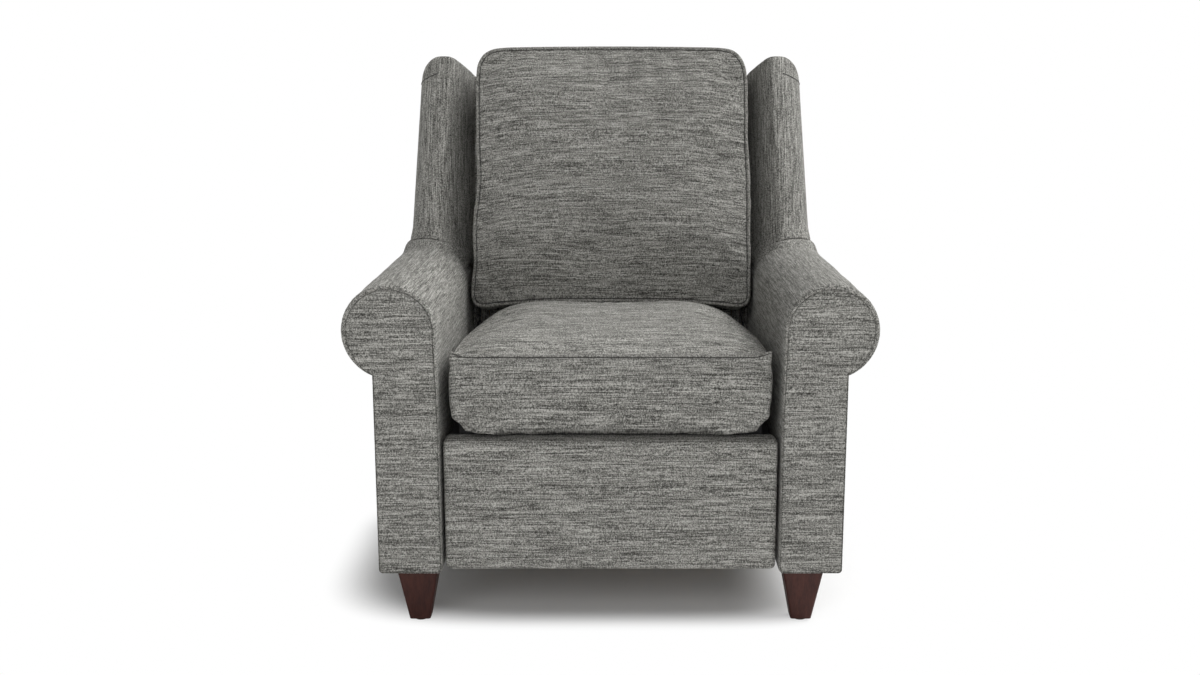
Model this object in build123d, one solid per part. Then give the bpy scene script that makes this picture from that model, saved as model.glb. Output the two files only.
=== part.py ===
from build123d import *
import os
from math import atan2, cos, degrees, hypot, radians, sin, sqrt

# Power recliner. Millimetres, +Z up, the sitter faces -Y, the origin is on the floor
# below the middle of the chair. "Forward" lengths are measured from the arm fronts.

# Heights
leg_height = 102.0
arm_height = 613.0

# Arms
arm_gap = 590.0
arm_panel_thickness = 111.0
roll_radius = 81.0
arm_past_base = 180.0
arm_front_rounding = 9.0
arm_padding = 15.7
arm_frame_height = 348.0
frame_member = 45.0
mechanism_rail_height = 46.0

# Legs
leg_top = 72.0
leg_foot = 37.0
leg_edge_rounding = 5.0
leg_side_offset = 45.0
front_leg_setback = 12.0
rear_leg_setback = 14.0
glide_radius = 11.0
glide_height = 5.0
leg_bolt_radius = 4.0
leg_bolt_in_leg = 35.0
leg_bolt_in_frame = 36.0

# Seat cushion
seat_bottom = 354.0
seat_seam_height = 142.0
seat_crown = 24.0
seat_side_gap = 15.0
seat_side_bulge = 5.0
seat_draw_in = 6.0
seat_setback = 19.0
seat_front_bulge = 12.0
seat_run_under = 52.0
seat_rear_drop = 46.0
end_crown = 2.0

# Seat frame
deck_thickness = 5.4
spring_wire_radius = 2.0
spring_count = 5
spring_pitch = 88.0
spring_swing = 26.0
spring_wave = 44.0
seat_rail_height = 22.0
seat_rail_width = 36.0
seat_rail_gap = 2.8
seat_front_rail_depth = 45.0
seat_rear_rail_depth = 35.0
seat_frame_short = 15.0
seat_frame_gap = 4.2

# Back
back_tilt = 13.0
recline_angle = 26.0
seat_depth = 480.0
back_cushion_lift = 9.0
back_cushion_length = 526.0
back_cushion_depth = 132.0
back_cushion_crown = 26.0
back_cushion_side_gap = 10.0
back_cushion_taper = 13.0
back_cushion_draw_in = 5.0
back_cushion_edge = 26.0
back_cushion_bottom_inset = 14.0
back_cushion_bottom_setback = 34.0
back_cushion_top_setback = 40.0
wing_length = 505.0
wing_overhang = 20.0
wing_taper = 26.0
wing_setback = 15.0
wing_depth = 185.0
wing_nose = 80.0
wing_top_rounding = 46.0
wing_slope = 33.0
wing_top_dip = 22.0
wing_gap = 5.0
back_post = 50.0
top_pad_thickness = 22.0
bracket_standoff = 4.2
back_frame_below = 60.0
back_rounding = 38.0
outside_back_thickness = 70.6
outside_back_below = 41.0
back_flap_drop = 108.0
back_flap_gap = 4.0
back_flap_thickness = 16.0
webbing_width = 50.0
webbing_thickness = 2.5
webbing_count = 6
lower_panel_inset = 17.5
lower_panel_height = 105.0
lower_panel_thickness = 23.0
lower_panel_drop = 6.0

# Back pivot and recline drive
back_pivot_behind = 160.0
back_pivot_above = 94.1
back_lever_radius = 110.0
back_tube_radius = 55.0

# Footrest
footrest_setback = 10.0
footrest_side_gap = 5.0
footrest_gap = 15.0
footrest_clearance_below = 2.0
footrest_pad_thickness = 50.0
footrest_crown = 8.0
footrest_board_thickness = 15.7
footrest_board_margin = 7.0
bracket_below = 62.0
bracket_above = 22.0
bracket_flange = 34.0

# Footrest linkage, in the plane of the side plates. Forward places are measured back from
# the rear of the footrest board, heights down from the top of the side plates.
main_pivot_back = 89.3
main_pivot_down = 19.0
guide_pivot_back = 44.3
guide_pivot_down = 16.0
hinge_back = 15.3
hinge_down = 38.5
main_link_length = 185.0
main_link_closed = -124.0
guide_pin_along = 38.0
guide_pin_across = -18.5
control_pin_along = 180.0
control_pin_across = -31.5
bracket_pin_back = 38.0
bracket_pin_up = 22.0
crossbar_along = 110.0
crossbar_across = -36.0
crank_radius = 40.0
crank_closed = -147.2
drive_link_length = 100.0
drive_slot_wall = 6.0
front_tube_back = 31.0
rear_tube_ahead = 65.0
footrest_rod_down = 48.9

# Sheet steel, pins and running gaps
steel = 4.0
layer_gap = 0.8
plate_standoff = 7.0
plate_depth = 44.0
plate_nose_back = 30.0
tube_boss_radius = 18.0
back_pivot_boss_radius = 19.8
front_spacer_setbacks = (185.0, 300.0)
rear_spacer_ahead = 90.0
pin_radius = 5.0
pin_clearance = 0.1
pin_head = 2.0
pin_head_radius = 8.0
guide_drift = 2.1
control_drift = 2.7
drive_drift = 2.9
drive_rise = 9.2
lever_drift = 1.9
link_half_width = 12.0
slim_half_width = 9.0
fit_gap = 0.3
spacer_radius = 8.0
tube_radius = 10.0
tube_wall = 2.0
crossbar_radius = 11.0

# Actuators
actuator_offset = 60.0
actuator_tube_radius = 15.0
rod_radius = 9.0
rod_gap = 0.5
eye_radius = 13.0
eye_half_width = 11.0
fork_inner = 13.0
crank_inner = 18.0
gearbox_length = 60.0
gearbox_width = 56.0
gearbox_height = 62.0
gearbox_rounding = 8.0
motor_radius = 21.0
motor_length = 85.0
motor_cap_radius = 16.0
motor_cap_length = 8.0
sleeve_radius = 16.0
sleeve_width = 28.0
sleeve_reach = 20.0

# Base rails and electrics
stretcher_depth = 30.0
stretcher_height = 48.0
stretcher_setback = 340.0
rear_rail_depth = 24.0
rear_rail_height = 166.0
rear_rail_inset = 11.0
rail_clearance_below = 2.0
control_box_length = 150.0
control_box_width = 50.0
control_box_height = 36.0
control_box_x = 175.0
inlet_x = 190.0
inlet_rise = 75.0
inlet_radius = 9.0
inlet_flange_radius = 13.0
inlet_flange = 3.0
inlet_bore = 4.0
inlet_depth = 15.0

# Control panel
panel_setback = 150.0
panel_rise = 255.0
panel_length = 124.0
panel_width = 42.0
panel_depth = 13.0
panel_proud = 2.0
panel_rounding = 20.0
button_count = 4
button_pitch = 26.0
button_radius = 9.0
button_proud = 2.5
button_length = 10.5
button_travel = 2.0

# Places worked out from the sizes
tilt = radians(back_tilt)
back_front = back_cushion_depth + fit_gap + webbing_thickness + fit_gap
back_rear = wing_setback + wing_depth
back_top_z = wing_length
back_frame_top = back_top_z - wing_top_dip - top_pad_thickness - fit_gap
outside_back_front = back_rear + fit_gap
outside_back_rear = outside_back_front + outside_back_thickness
back_crest = back_top_z - back_rounding
back_reach = back_crest * sin(tilt) + (outside_back_rear - back_rounding) * cos(tilt) + back_rounding
overall_depth = seat_depth + back_reach
overall_width = arm_gap + 4 * roll_radius
front_y = -overall_depth / 2
back_base_y = front_y + seat_depth
arm_inner = arm_gap / 2
arm_outer = arm_inner + arm_panel_thickness
roll_x = arm_inner + roll_radius
roll_z = arm_height - roll_radius
arm_length = seat_depth + arm_past_base
arm_rear_y = front_y + arm_length
leg_offset_x = arm_inner + leg_side_offset
frame_inner = arm_inner + arm_padding + fit_gap
frame_outer = arm_outer - arm_padding - fit_gap
frame_front = front_y + arm_padding + fit_gap
frame_rear = arm_rear_y - arm_padding - fit_gap
frame_top = leg_height + arm_frame_height
inlet_height = leg_height + inlet_rise
panel_height = leg_height + panel_rise
seat_half_width = arm_inner - seat_side_gap
seat_length = seat_depth + seat_run_under
spring_z = seat_bottom - fit_gap - deck_thickness - fit_gap - spring_wire_radius
rail_top = spring_z - spring_wire_radius - fit_gap / 3
flange_top = rail_top - seat_rail_height
plate_top = flange_top - steel
plate_inner = arm_inner - plate_standoff - steel
footrest_half_width = arm_inner - footrest_side_gap
footrest_front_y = front_y + footrest_setback
pad_rear_y = footrest_front_y + footrest_pad_thickness
board_rear_y = pad_rear_y + fit_gap + footrest_board_thickness
footrest_top = seat_bottom - footrest_gap
footrest_bottom = leg_height + footrest_clearance_below
footrest_rod_height = plate_top - footrest_rod_down
seat_frame_front_y = board_rear_y + seat_frame_gap
seat_frame_rear_y = seat_frame_front_y + seat_depth - seat_frame_short
pivot_y = back_base_y + back_pivot_behind
pivot_z = plate_top + back_pivot_above
back_cushion_base = seat_bottom + seat_seam_height + back_cushion_lift
back_cushion_half_bottom = arm_inner - back_cushion_side_gap
back_cushion_half_top = back_cushion_half_bottom - back_cushion_taper
back_frame_half = plate_inner - bracket_standoff - steel - fit_gap
back_flap_half = plate_inner - back_flap_gap
lower_panel_half = back_frame_half - lower_panel_inset
wing_half_width = arm_outer + wing_overhang
back_place = Pos(0, back_base_y, back_cushion_base) * Rot(-back_tilt, 0, 0)

# Side plate layers, from the arm inwards: plate, guide link, carrier link, main link, control link
layer_pitch = steel + layer_gap
guide_layer = plate_inner - layer_pitch
carrier_layer = guide_layer - layer_pitch
main_layer = carrier_layer - layer_pitch
control_layer = main_layer - layer_pitch
seat_rail_outer = control_layer - seat_rail_gap
seat_rail_inner = seat_rail_outer - seat_rail_width


# General helpers
def block(x0, x1, y0, y1, z0, z1):
    centre = Pos((x0 + x1) / 2, (y0 + y1) / 2, (z0 + z1) / 2)
    return centre * Box(abs(x1 - x0), abs(y1 - y0), abs(z1 - z0))


def bar_x(radius, x0, x1, y, z):
    return Pos((x0 + x1) / 2, y, z) * Rot(0, 90, 0) * Cylinder(radius, abs(x1 - x0))


def bar_y(radius, y0, y1, x, z):
    return Pos(x, (y0 + y1) / 2, z) * Rot(90, 0, 0) * Cylinder(radius, abs(y1 - y0))


def bar_z(radius, z0, z1, x, y):
    return Pos(x, y, (z0 + z1) / 2) * Cylinder(radius, abs(z1 - z0))


def other_side(shape):
    return mirror(shape, about=Plane.YZ)


def both_sides(shape):
    return Compound([*shape.solids(), *other_side(shape).solids()])


def group(shapes):
    return Compound([solid for shape in shapes for solid in shape.solids()])


def stadium(start, end, radius):
    """A flat bar with round ends between two points."""
    run = (end[0] - start[0], end[1] - start[1])
    turn = degrees(atan2(run[1], run[0]))
    middle = Pos((start[0] + end[0]) / 2, (start[1] + end[1]) / 2)
    return middle * Rot(0, 0, turn) * SlotCenterToCenter(hypot(*run), 2 * radius)


def rounded_plate(points, radius):
    """A flat plate that follows a line of points, or fills three or more, with round corners."""
    outline = Sketch()
    ends = points[1:] + (points[:1] if len(points) > 2 else [])
    for start, end in zip(points, ends):
        outline += stadium(start, end, radius)
    if len(points) > 2:
        outline += make_face(Polyline(*points, close=True))
    return outline


def side_plate(outline, x0, x1):
    """Thickness from x0 to x1 for an outline drawn in (y, z)."""
    return extrude(Pos(x0, 0, 0) * (Plane.YZ * outline), x1 - x0, dir=(1, 0, 0))


def polar(centre, length, angle):
    """A point in (forward, up) at a length and an angle from another one."""
    return (centre[0] + length * cos(radians(angle)), centre[1] + length * sin(radians(angle)))


def turned(centre, along, across, angle):
    """A point given along and across a link that points at an angle."""
    c, s = cos(radians(angle)), sin(radians(angle))
    return (centre[0] + along * c - across * s, centre[1] + along * s + across * c)


def yz(point):
    """A (forward, up) point as (y, z)."""
    return (-point[0], point[1])


# Linkage pivots, closed, as (forward, up)
board_rear = -board_rear_y
main_pivot = (board_rear - main_pivot_back, plate_top - main_pivot_down)
guide_pivot = (board_rear - guide_pivot_back, plate_top - guide_pivot_down)
hinge = (board_rear - hinge_back, plate_top - hinge_down)
main_end = polar(main_pivot, main_link_length, main_link_closed)
carrier_angle = degrees(atan2(hinge[1] - main_end[1], hinge[0] - main_end[0]))
guide_end = turned(main_end, guide_pin_along, guide_pin_across, carrier_angle)
control_start = turned(main_pivot, control_pin_along, control_pin_across, main_link_closed)
control_end = (hinge[0] - bracket_pin_back, hinge[1] + bracket_pin_up)
crossbar = turned(main_pivot, crossbar_along, crossbar_across, main_link_closed)
crank_pin = polar(main_pivot, crank_radius, crank_closed)
footrest_rod_pin = (crank_pin[0] - drive_link_length, footrest_rod_height)

# Recline lever pin and actuator lines
half_recline = recline_angle / 2
lever_rest = (-pivot_y - back_lever_radius * sin(radians(half_recline)),
              pivot_z - back_lever_radius * cos(radians(half_recline)))
lever_tube = (-pivot_y - back_tube_radius * sin(radians(half_recline)),
              pivot_z - back_tube_radius * cos(radians(half_recline)))
recline_rod_height = (lever_rest[1] + pivot_z - back_lever_radius) / 2
recline_travel = 2 * back_lever_radius * sin(radians(half_recline))
front_tube = (crank_pin[0] - drive_link_length - front_tube_back, recline_rod_height)
rear_tube = (-pivot_y + rear_tube_ahead, footrest_rod_height)


# Arms
def arm_profile():
    """Section of the right arm in (x, z): a straight panel with a roll that overhangs outwards."""
    roll_low = roll_z - sqrt(roll_radius ** 2 - (arm_outer - roll_x) ** 2)
    start = degrees(atan2(roll_low - roll_z, arm_outer - roll_x))
    middle = polar((roll_x, roll_z), roll_radius, (start + 90) / 2)
    inner_side = polar((roll_x, roll_z), roll_radius, 135)
    inner_foot = (roll_x - roll_radius, roll_z)
    edges = [
        Line((arm_inner, leg_height), (arm_outer, leg_height)),
        Line((arm_outer, leg_height), (arm_outer, roll_low)),
        ThreePointArc((arm_outer, roll_low), middle, (roll_x, arm_height)),
        ThreePointArc((roll_x, arm_height), inner_side, inner_foot),
        Line(inner_foot, (arm_inner, leg_height)),
    ]
    return make_face(edges)


def leg_centres():
    front = front_y + front_leg_setback + leg_top / 2
    rear = arm_rear_y - rear_leg_setback - leg_top / 2
    return [front, rear]


def spacer_places():
    middle = (plate_top + flange_top) / 2 - plate_depth / 2
    places = [seat_frame_front_y + setback for setback in front_spacer_setbacks]
    return [(y, middle) for y in (*places, pivot_y - rear_spacer_ahead)]


def stretcher_boxes(reach, grow):
    """The two rails that tie the arms together, grown by a fitting gap for their slots."""
    foot = leg_height + rail_clearance_below
    front = front_y + stretcher_setback
    rear = arm_rear_y - arm_padding - rear_rail_inset
    return [
        block(-reach, reach, front - grow, front + stretcher_depth + grow, foot - grow,
              foot + stretcher_height + grow),
        block(-reach, reach, rear - rear_rail_depth - grow, rear + grow, foot - grow,
              foot + rear_rail_height + grow),
    ]


def right_arm():
    arm = extrude(Pos(0, arm_rear_y, 0) * (Plane.XZ * arm_profile()), arm_length, dir=(0, -1, 0))
    arm = fillet(arm.faces().sort_by(Axis.Y)[0].edges(), arm_front_rounding)
    arm -= block(frame_inner - fit_gap, frame_outer + fit_gap, frame_front - fit_gap,
                 frame_rear + fit_gap, leg_height - 1, frame_top + fit_gap)
    for y, z in spacer_places():
        arm -= bar_x(spacer_radius + fit_gap, arm_inner - 1, frame_inner, y, z)
    for slot in stretcher_boxes(frame_inner, fit_gap):
        arm -= slot
    return arm


def arm_frame():
    """Hardwood frame inside the right arm: posts, rails and a middle rail for the mechanism."""
    frame = block(frame_inner, frame_outer, frame_front, frame_rear, leg_height, frame_top)
    middle_low = plate_top - plate_depth
    y0 = frame_front + frame_member
    y1 = frame_rear - frame_member
    frame -= block(frame_inner - 1, frame_outer + 1, y0, y1, leg_height + frame_member, middle_low)
    frame -= block(frame_inner - 1, frame_outer + 1, y0, y1, middle_low + mechanism_rail_height,
                   frame_top - frame_member)
    for y in leg_centres():
        frame -= bar_z(leg_bolt_radius + pin_clearance, leg_height - 1, leg_height + leg_bolt_in_frame,
                       leg_offset_x, y)
    return frame


# Legs
def leg(x, y):
    foot = Pos(x, y, glide_height) * RectangleRounded(leg_foot, leg_foot, leg_edge_rounding)
    top = Pos(x, y, leg_height) * RectangleRounded(leg_top, leg_top, leg_edge_rounding)
    return loft([foot, top]) - bar_z(leg_bolt_radius + pin_clearance, leg_height - leg_bolt_in_leg,
                                     leg_height + 1, x, y)


# Cushions
def cushion_section(half, low, high, bulge, crown):
    """Section of a cushion: flat base, sides that swell and a crowned top."""
    middle = (low + high) / 2
    return make_face([
        Line((-half, low), (half, low)),
        ThreePointArc((half, low), (half + bulge, middle), (half, high)),
        ThreePointArc((half, high), (0, high + crown), (-half, high)),
        ThreePointArc((-half, high), (-half - bulge, middle), (-half, low)),
    ])


def seat_cushion():
    """Boxed seat cushion, lofted from its front seam to its rear edge under the back cushion."""
    seam_y = front_y + seat_setback
    seam_z = seat_bottom + seat_seam_height
    edge = seat_front_bulge
    rear_y = seam_y + seat_length
    full = seat_half_width - seat_draw_in
    stations = [
        (seam_y - edge, seat_half_width - edge, edge, seam_z - edge, end_crown),
        (seam_y, seat_half_width, 0.0, seam_z, seat_crown * 0.45),
        (seam_y + seat_length * 0.2, full, 0.0, seam_z, seat_crown * 0.9),
        (seam_y + seat_length * 0.5, full, 0.0, seam_z, seat_crown),
        (seam_y + seat_length * 0.8, full, 0.0, seam_z - seat_draw_in, seat_crown * 0.7),
        (seam_y + seat_length * 0.88, full, 0.0, seam_z - seat_rear_drop / 2, seat_crown * 0.3),
        (rear_y, seat_half_width - edge, 0.0, seam_z - seat_rear_drop, end_crown),
    ]
    sections = []
    for y, half, lift, high, crown in stations:
        face = cushion_section(half, seat_bottom + lift, high, seat_side_bulge, crown)
        sections.append(Plane.XZ.offset(-y) * face)
    return loft(sections, ruled=True)


def back_cushion():
    """Back cushion in the back's own frame: x across, y to the rear, z up the back."""
    rear = back_cushion_depth
    edge = back_cushion_edge
    length = back_cushion_length
    narrow = (back_cushion_half_bottom - back_cushion_half_top) / length
    crown = back_cushion_crown
    stations = [
        (0.0, back_cushion_bottom_inset, back_cushion_bottom_setback, 0.0, end_crown),
        (edge, 0.0, back_cushion_draw_in, 0.0, crown * 0.6),
        (length * 0.45, back_cushion_draw_in, 0.0, 0.0, crown),
        (length - edge * 2, 0.0, end_crown, 0.0, crown * 0.7),
        (length - edge / 2, edge / 2, edge / 2, 0.0, crown * 0.4),
        (length, edge * 1.6, back_cushion_top_setback, edge, end_crown),
    ]
    sections = []
    for z, inset, front, lift, bulge in stations:
        half = back_cushion_half_bottom - narrow * z - inset
        face = cushion_section(half, -rear + lift, -front, seat_side_bulge / 2, bulge)
        sections.append(Plane.XY.offset(z) * mirror(face, about=Plane.XZ))
    return loft(sections, ruled=True)


def footrest_pad():
    """Upholstered face of the footrest, crowned towards the front."""
    edge = footrest_crown
    height = footrest_top - footrest_bottom
    stations = [
        (0.0, edge, edge * 1.5, end_crown),
        (edge, fit_gap, end_crown, edge * 0.6),
        (height / 2, 0.0, 0.0, edge),
        (height - edge, fit_gap, end_crown, edge * 0.6),
        (height, edge, edge * 1.5, end_crown),
    ]
    sections = []
    for z, inset, back_off, crown in stations:
        half = footrest_half_width - inset - fit_gap
        front = footrest_pad_thickness - footrest_crown - back_off
        face = cushion_section(half, 0.0, front, fit_gap, crown)
        sections.append(Pos(0, pad_rear_y, footrest_bottom + z) * mirror(face, about=Plane.XZ))
    return loft(sections, ruled=True)


# Seat frame
def seat_side_rail():
    return block(seat_rail_inner, seat_rail_outer, seat_frame_front_y, seat_frame_rear_y, flange_top, rail_top)


def seat_front_rail():
    return block(-seat_rail_inner, seat_rail_inner, seat_frame_front_y,
                 seat_frame_front_y + seat_front_rail_depth, flange_top, rail_top)


def seat_rear_rail():
    return block(-seat_rail_inner, seat_rail_inner, seat_frame_rear_y - seat_rear_rail_depth,
                 seat_frame_rear_y, flange_top, rail_top)


def seat_spring(x):
    """Sinuous spring: a wire that swings from side to side from the front rail to the rear rail."""
    start = seat_frame_front_y + seat_front_rail_depth / 2
    end = seat_frame_rear_y - seat_rear_rail_depth / 2
    waves = int((end - start) / spring_wave)
    step = (end - start) / waves
    points = [(x, start)]
    for count in range(waves):
        side = spring_swing if count % 2 == 0 else -spring_swing
        points.append((x + side, start + count * step))
        points.append((x + side, start + (count + 1) * step))
    points.append((x, end))
    path = Pos(0, 0, spring_z) * FilletPolyline(*points, radius=step * 0.45)
    section = Plane(path @ 0, z_dir=path % 0) * Rectangle(2 * spring_wire_radius, 2 * spring_wire_radius)
    return sweep(section, path)


def seat_springs():
    offset = (spring_count - 1) / 2
    return group([seat_spring((count - offset) * spring_pitch) for count in range(spring_count)])


def seat_deck():
    low = seat_bottom - fit_gap - deck_thickness
    half = (seat_rail_inner + seat_rail_outer) / 2
    return block(-half, half, seat_frame_front_y, seat_frame_rear_y, low, low + deck_thickness)


# Mechanism plates
def mechanism_plate():
    """Right side plate: a long bar with the link pivots in front, the back pivot behind and a
    flange along its top for the seat rails."""
    radius = plate_depth / 2
    bar_z0 = plate_top - radius
    rear = (pivot_y, bar_z0)
    nose_y = -main_pivot[0] + plate_nose_back
    outline = rounded_plate([yz(guide_pivot), (nose_y, main_pivot[1])], guide_pivot_down)
    outline += rounded_plate([(nose_y, bar_z0), rear], radius)
    outline += rounded_plate([rear, (pivot_y, pivot_z)], back_pivot_boss_radius)
    for tube in (front_tube, rear_tube):
        outline += Pos(*yz(tube)) * Circle(tube_boss_radius)
    plate = side_plate(outline, plate_inner, plate_inner + steel)
    plate += block(seat_rail_inner, plate_inner + steel, -guide_pivot[0], seat_frame_rear_y,
                   plate_top, flange_top)
    plate += block(plate_inner, plate_inner + steel, -guide_pivot[0], seat_frame_rear_y,
                   bar_z0, plate_top)
    for point in (guide_pivot, main_pivot):
        plate -= bar_x(pin_radius + pin_clearance, plate_inner - 1, plate_inner + steel + 1, *yz(point))
    plate -= bar_x(pin_radius + pin_clearance, plate_inner - 1, plate_inner + steel + 1, pivot_y, pivot_z)
    return plate


def plate_spacers():
    return group([bar_x(spacer_radius, plate_inner + steel, frame_inner, y, z) for y, z in spacer_places()])


def cross_tube(point):
    return bar_x(tube_radius, -plate_inner, plate_inner, *yz(point)) - bar_x(
        tube_radius - tube_wall, -plate_inner - 1, plate_inner + 1, *yz(point))


def pin(point, x0, x1, inner_head, outer_head):
    """A rivet across the links from x0 to x1, with a head past either end where it has one."""
    rivet = bar_x(pin_radius, x0, x1, *yz(point))
    if inner_head:
        rivet += bar_x(pin_head_radius, x0 - pin_head, x0, *yz(point))
    if outer_head:
        rivet += bar_x(pin_head_radius, x1, x1 + pin_head, *yz(point))
    return rivet


def plate_pivot_pins():
    guide = pin(guide_pivot, guide_layer - layer_gap / 2, plate_inner + steel, True, True)
    main = pin(main_pivot, main_layer - layer_gap / 2, plate_inner + steel, True, True)
    main += bar_x(pin_head_radius, main_layer + steel + layer_gap / 2, plate_inner, *yz(main_pivot))
    return group([guide, main])


# Footrest links
def link(points, layer, holes, half_width=link_half_width):
    """One link: a plate round its points, with a hole of the given radius at each."""
    plate = side_plate(rounded_plate([yz(point) for point in points], half_width), layer, layer + steel)
    for point, radius in zip(points, holes):
        if radius:
            plate -= bar_x(radius, layer - 1, layer + steel + 1, *yz(point))
    return plate


running_hole = pin_radius + pin_clearance


def main_link():
    return link([main_pivot, crossbar, control_start, main_end], main_layer,
                [running_hole, 0, running_hole, running_hole])


def guide_link():
    return link([guide_pivot, guide_end], guide_layer, [running_hole, running_hole + guide_drift])


def carrier_link():
    return link([main_end, guide_end, hinge], carrier_layer, [running_hole] * 3)


def control_link():
    return link([control_start, control_end], control_layer,
                [running_hole, running_hole + control_drift], slim_half_width + control_drift)


def main_link_pins():
    joint = pin(main_end, main_layer, carrier_layer + steel, False, False)
    control = pin(control_start, control_layer, main_layer + steel, True, True)
    return group([joint, control])


def carrier_link_pins():
    guide = pin(guide_end, carrier_layer, guide_layer + steel, True, True)
    board = pin(hinge, main_layer, carrier_layer + steel, True, True)
    return group([guide, board])


def footrest_bracket():
    """Right bracket: a web in the main link's layer and a flange on the back of the board."""
    low = (board_rear - slim_half_width, hinge[1] - bracket_below)
    high = (board_rear - slim_half_width, hinge[1] + bracket_above)
    outline = rounded_plate([yz(point) for point in (hinge, control_end, high, low)], slim_half_width)
    behind_board = Pos(-board_rear + main_link_length, hinge[1])
    outline &= behind_board * Rectangle(2 * main_link_length, 2 * main_link_length)
    bracket = side_plate(outline, main_layer, main_layer + steel)
    bracket += block(main_layer - bracket_flange, main_layer + steel, -board_rear, -board_rear + steel,
                     hinge[1] - bracket_below, hinge[1] + bracket_above)
    for point in (hinge, control_end):
        bracket -= bar_x(running_hole, main_layer - 1, main_layer + steel + 1, *yz(point))
    return bracket


def bracket_pin():
    return pin(control_end, control_layer - layer_gap / 2, main_layer + steel, True, False)


def footrest_board():
    half = footrest_half_width - footrest_board_margin
    board = block(-half, half, pad_rear_y + fit_gap, board_rear_y,
                  footrest_bottom + footrest_board_margin, footrest_top - footrest_board_margin)
    return fillet(board.edges().filter_by(Axis.Y), footrest_board_margin)


# Footrest drive
def drive_crossbar():
    """Tube between the two main links, with the crank plates and the crank pin in its middle."""
    bar = bar_x(crossbar_radius, -main_layer, main_layer, *yz(crossbar))
    for side in (-1, 1):
        near = -actuator_offset + side * crank_inner
        far = near + side * steel
        plate = side_plate(rounded_plate([yz(crossbar), yz(crank_pin)], link_half_width),
                           min(near, far), max(near, far))
        bar += plate
    reach = crank_inner + steel
    return bar + bar_x(pin_radius, -actuator_offset - reach, -actuator_offset + reach, *yz(crank_pin))


def drive_links():
    """Pair of links from the crank pin back to the actuator rod, slotted at the rod's pin."""
    slot_middle = (crank_pin[0] - drive_link_length, crank_pin[1] + layer_gap)
    slot_half = pin_radius + drive_drift
    slot_rise = drive_rise + pin_radius + drive_drift / 3
    plates = []
    for side in (-1, 1):
        near = -actuator_offset + side * fork_inner
        far = near + side * steel
        outline = rounded_plate([yz(crank_pin), yz(slot_middle)], link_half_width)
        wall = 2 * drive_slot_wall
        outline += Pos(*yz(slot_middle)) * RectangleRounded(2 * slot_half + wall, 2 * slot_rise + wall, slot_half)
        outline -= Pos(*yz(slot_middle)) * RectangleRounded(2 * slot_half, 2 * slot_rise, slot_half * 0.9)
        plate = side_plate(outline, min(near, far), max(near, far))
        plates.append(plate - bar_x(running_hole, near - fork_inner, near + fork_inner, *yz(crank_pin)))
    return group(plates)


# Actuators
def actuator_housing(x, tube_point, gear_y, toward, height, side):
    """Gear motor: rounded gearbox, motor can to one side and a sleeve on its cross tube."""
    y1 = gear_y + toward * gearbox_length
    body = block(x - gearbox_width / 2, x + gearbox_width / 2, gear_y, y1,
                 height - gearbox_height / 2, height + gearbox_height / 2)
    body = fillet(body.edges(), gearbox_rounding)
    middle = (gear_y + y1) / 2
    start = x + side * (gearbox_width / 2 - gearbox_rounding)
    end = start + side * motor_length
    body += bar_x(motor_radius, start, end, middle, height)
    body += bar_x(motor_cap_radius, end, end + side * motor_cap_length, middle, height)
    sleeve_y = -tube_point[0]
    half = sleeve_width / 2
    body += block(x - half, x + half, sleeve_y, middle, height - sleeve_radius * 0.7, height + sleeve_radius * 0.7)
    body += bar_x(sleeve_radius, x - half, x + half, sleeve_y, height)
    return body - bar_x(tube_radius + pin_clearance, x - half - 1, x + half + 1, sleeve_y, height)


def actuator_tube(x, y0, y1, height):
    return bar_y(actuator_tube_radius, y0, y1, x, height) - bar_y(rod_radius + rod_gap, y0, y1, x, height)


def actuator_rod(x, y_inside, y_eye, height, hole):
    rod = bar_y(rod_radius, y_inside, y_eye, x, height)
    rod += bar_x(eye_radius, x - eye_half_width, x + eye_half_width, y_eye, height)
    return rod - bar_x(hole, x - eye_half_width - 1, x + eye_half_width + 1, y_eye, height)


recline_x = actuator_offset
footrest_x = -actuator_offset
recline_gear_y = -front_tube[0] + sleeve_reach + gearbox_length
recline_tube_end = -lever_rest[0] - recline_travel - eye_radius - sleeve_reach / 2
recline_rod_inside = recline_gear_y + recline_travel + sleeve_reach
footrest_gear_y = -rear_tube[0] - sleeve_reach - gearbox_length
footrest_tube_end = -footrest_rod_pin[0] + eye_radius + sleeve_reach / 2
footrest_rod_inside = footrest_gear_y - sleeve_reach


def recline_motor():
    return actuator_housing(recline_x, front_tube, recline_gear_y, -1, recline_rod_height, 1)


def recline_tube():
    return actuator_tube(recline_x, recline_gear_y, recline_tube_end, recline_rod_height)


def recline_rod():
    return actuator_rod(recline_x, recline_rod_inside, -lever_rest[0], recline_rod_height,
                        pin_radius + lever_drift)


def footrest_motor():
    return actuator_housing(footrest_x, rear_tube, footrest_gear_y, 1, footrest_rod_height, -1)


def footrest_tube():
    return actuator_tube(footrest_x, footrest_tube_end, footrest_gear_y, footrest_rod_height)


def footrest_rod():
    reach = fork_inner + steel
    rod = actuator_rod(footrest_x, footrest_rod_inside, -footrest_rod_pin[0], footrest_rod_height,
                       pin_radius)
    return rod + bar_x(pin_radius, footrest_x - reach, footrest_x + reach, *yz(footrest_rod_pin))


# Back, in its own tilted frame: x across, y to the rear, z up the back
def back_frame():
    low = -back_frame_below
    high = back_frame_top
    half = back_frame_half
    frame = block(-half, half, back_front, back_rear, low, high)
    window = block(-half + back_post, half - back_post, back_front - 1, back_rear + 1, low + back_post,
                   high - back_post)
    slat = block(-back_post / 2, back_post / 2, back_front + webbing_thickness * 4, back_rear, low + back_post,
                 high - back_post)
    return back_place * (frame - window + slat)


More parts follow.
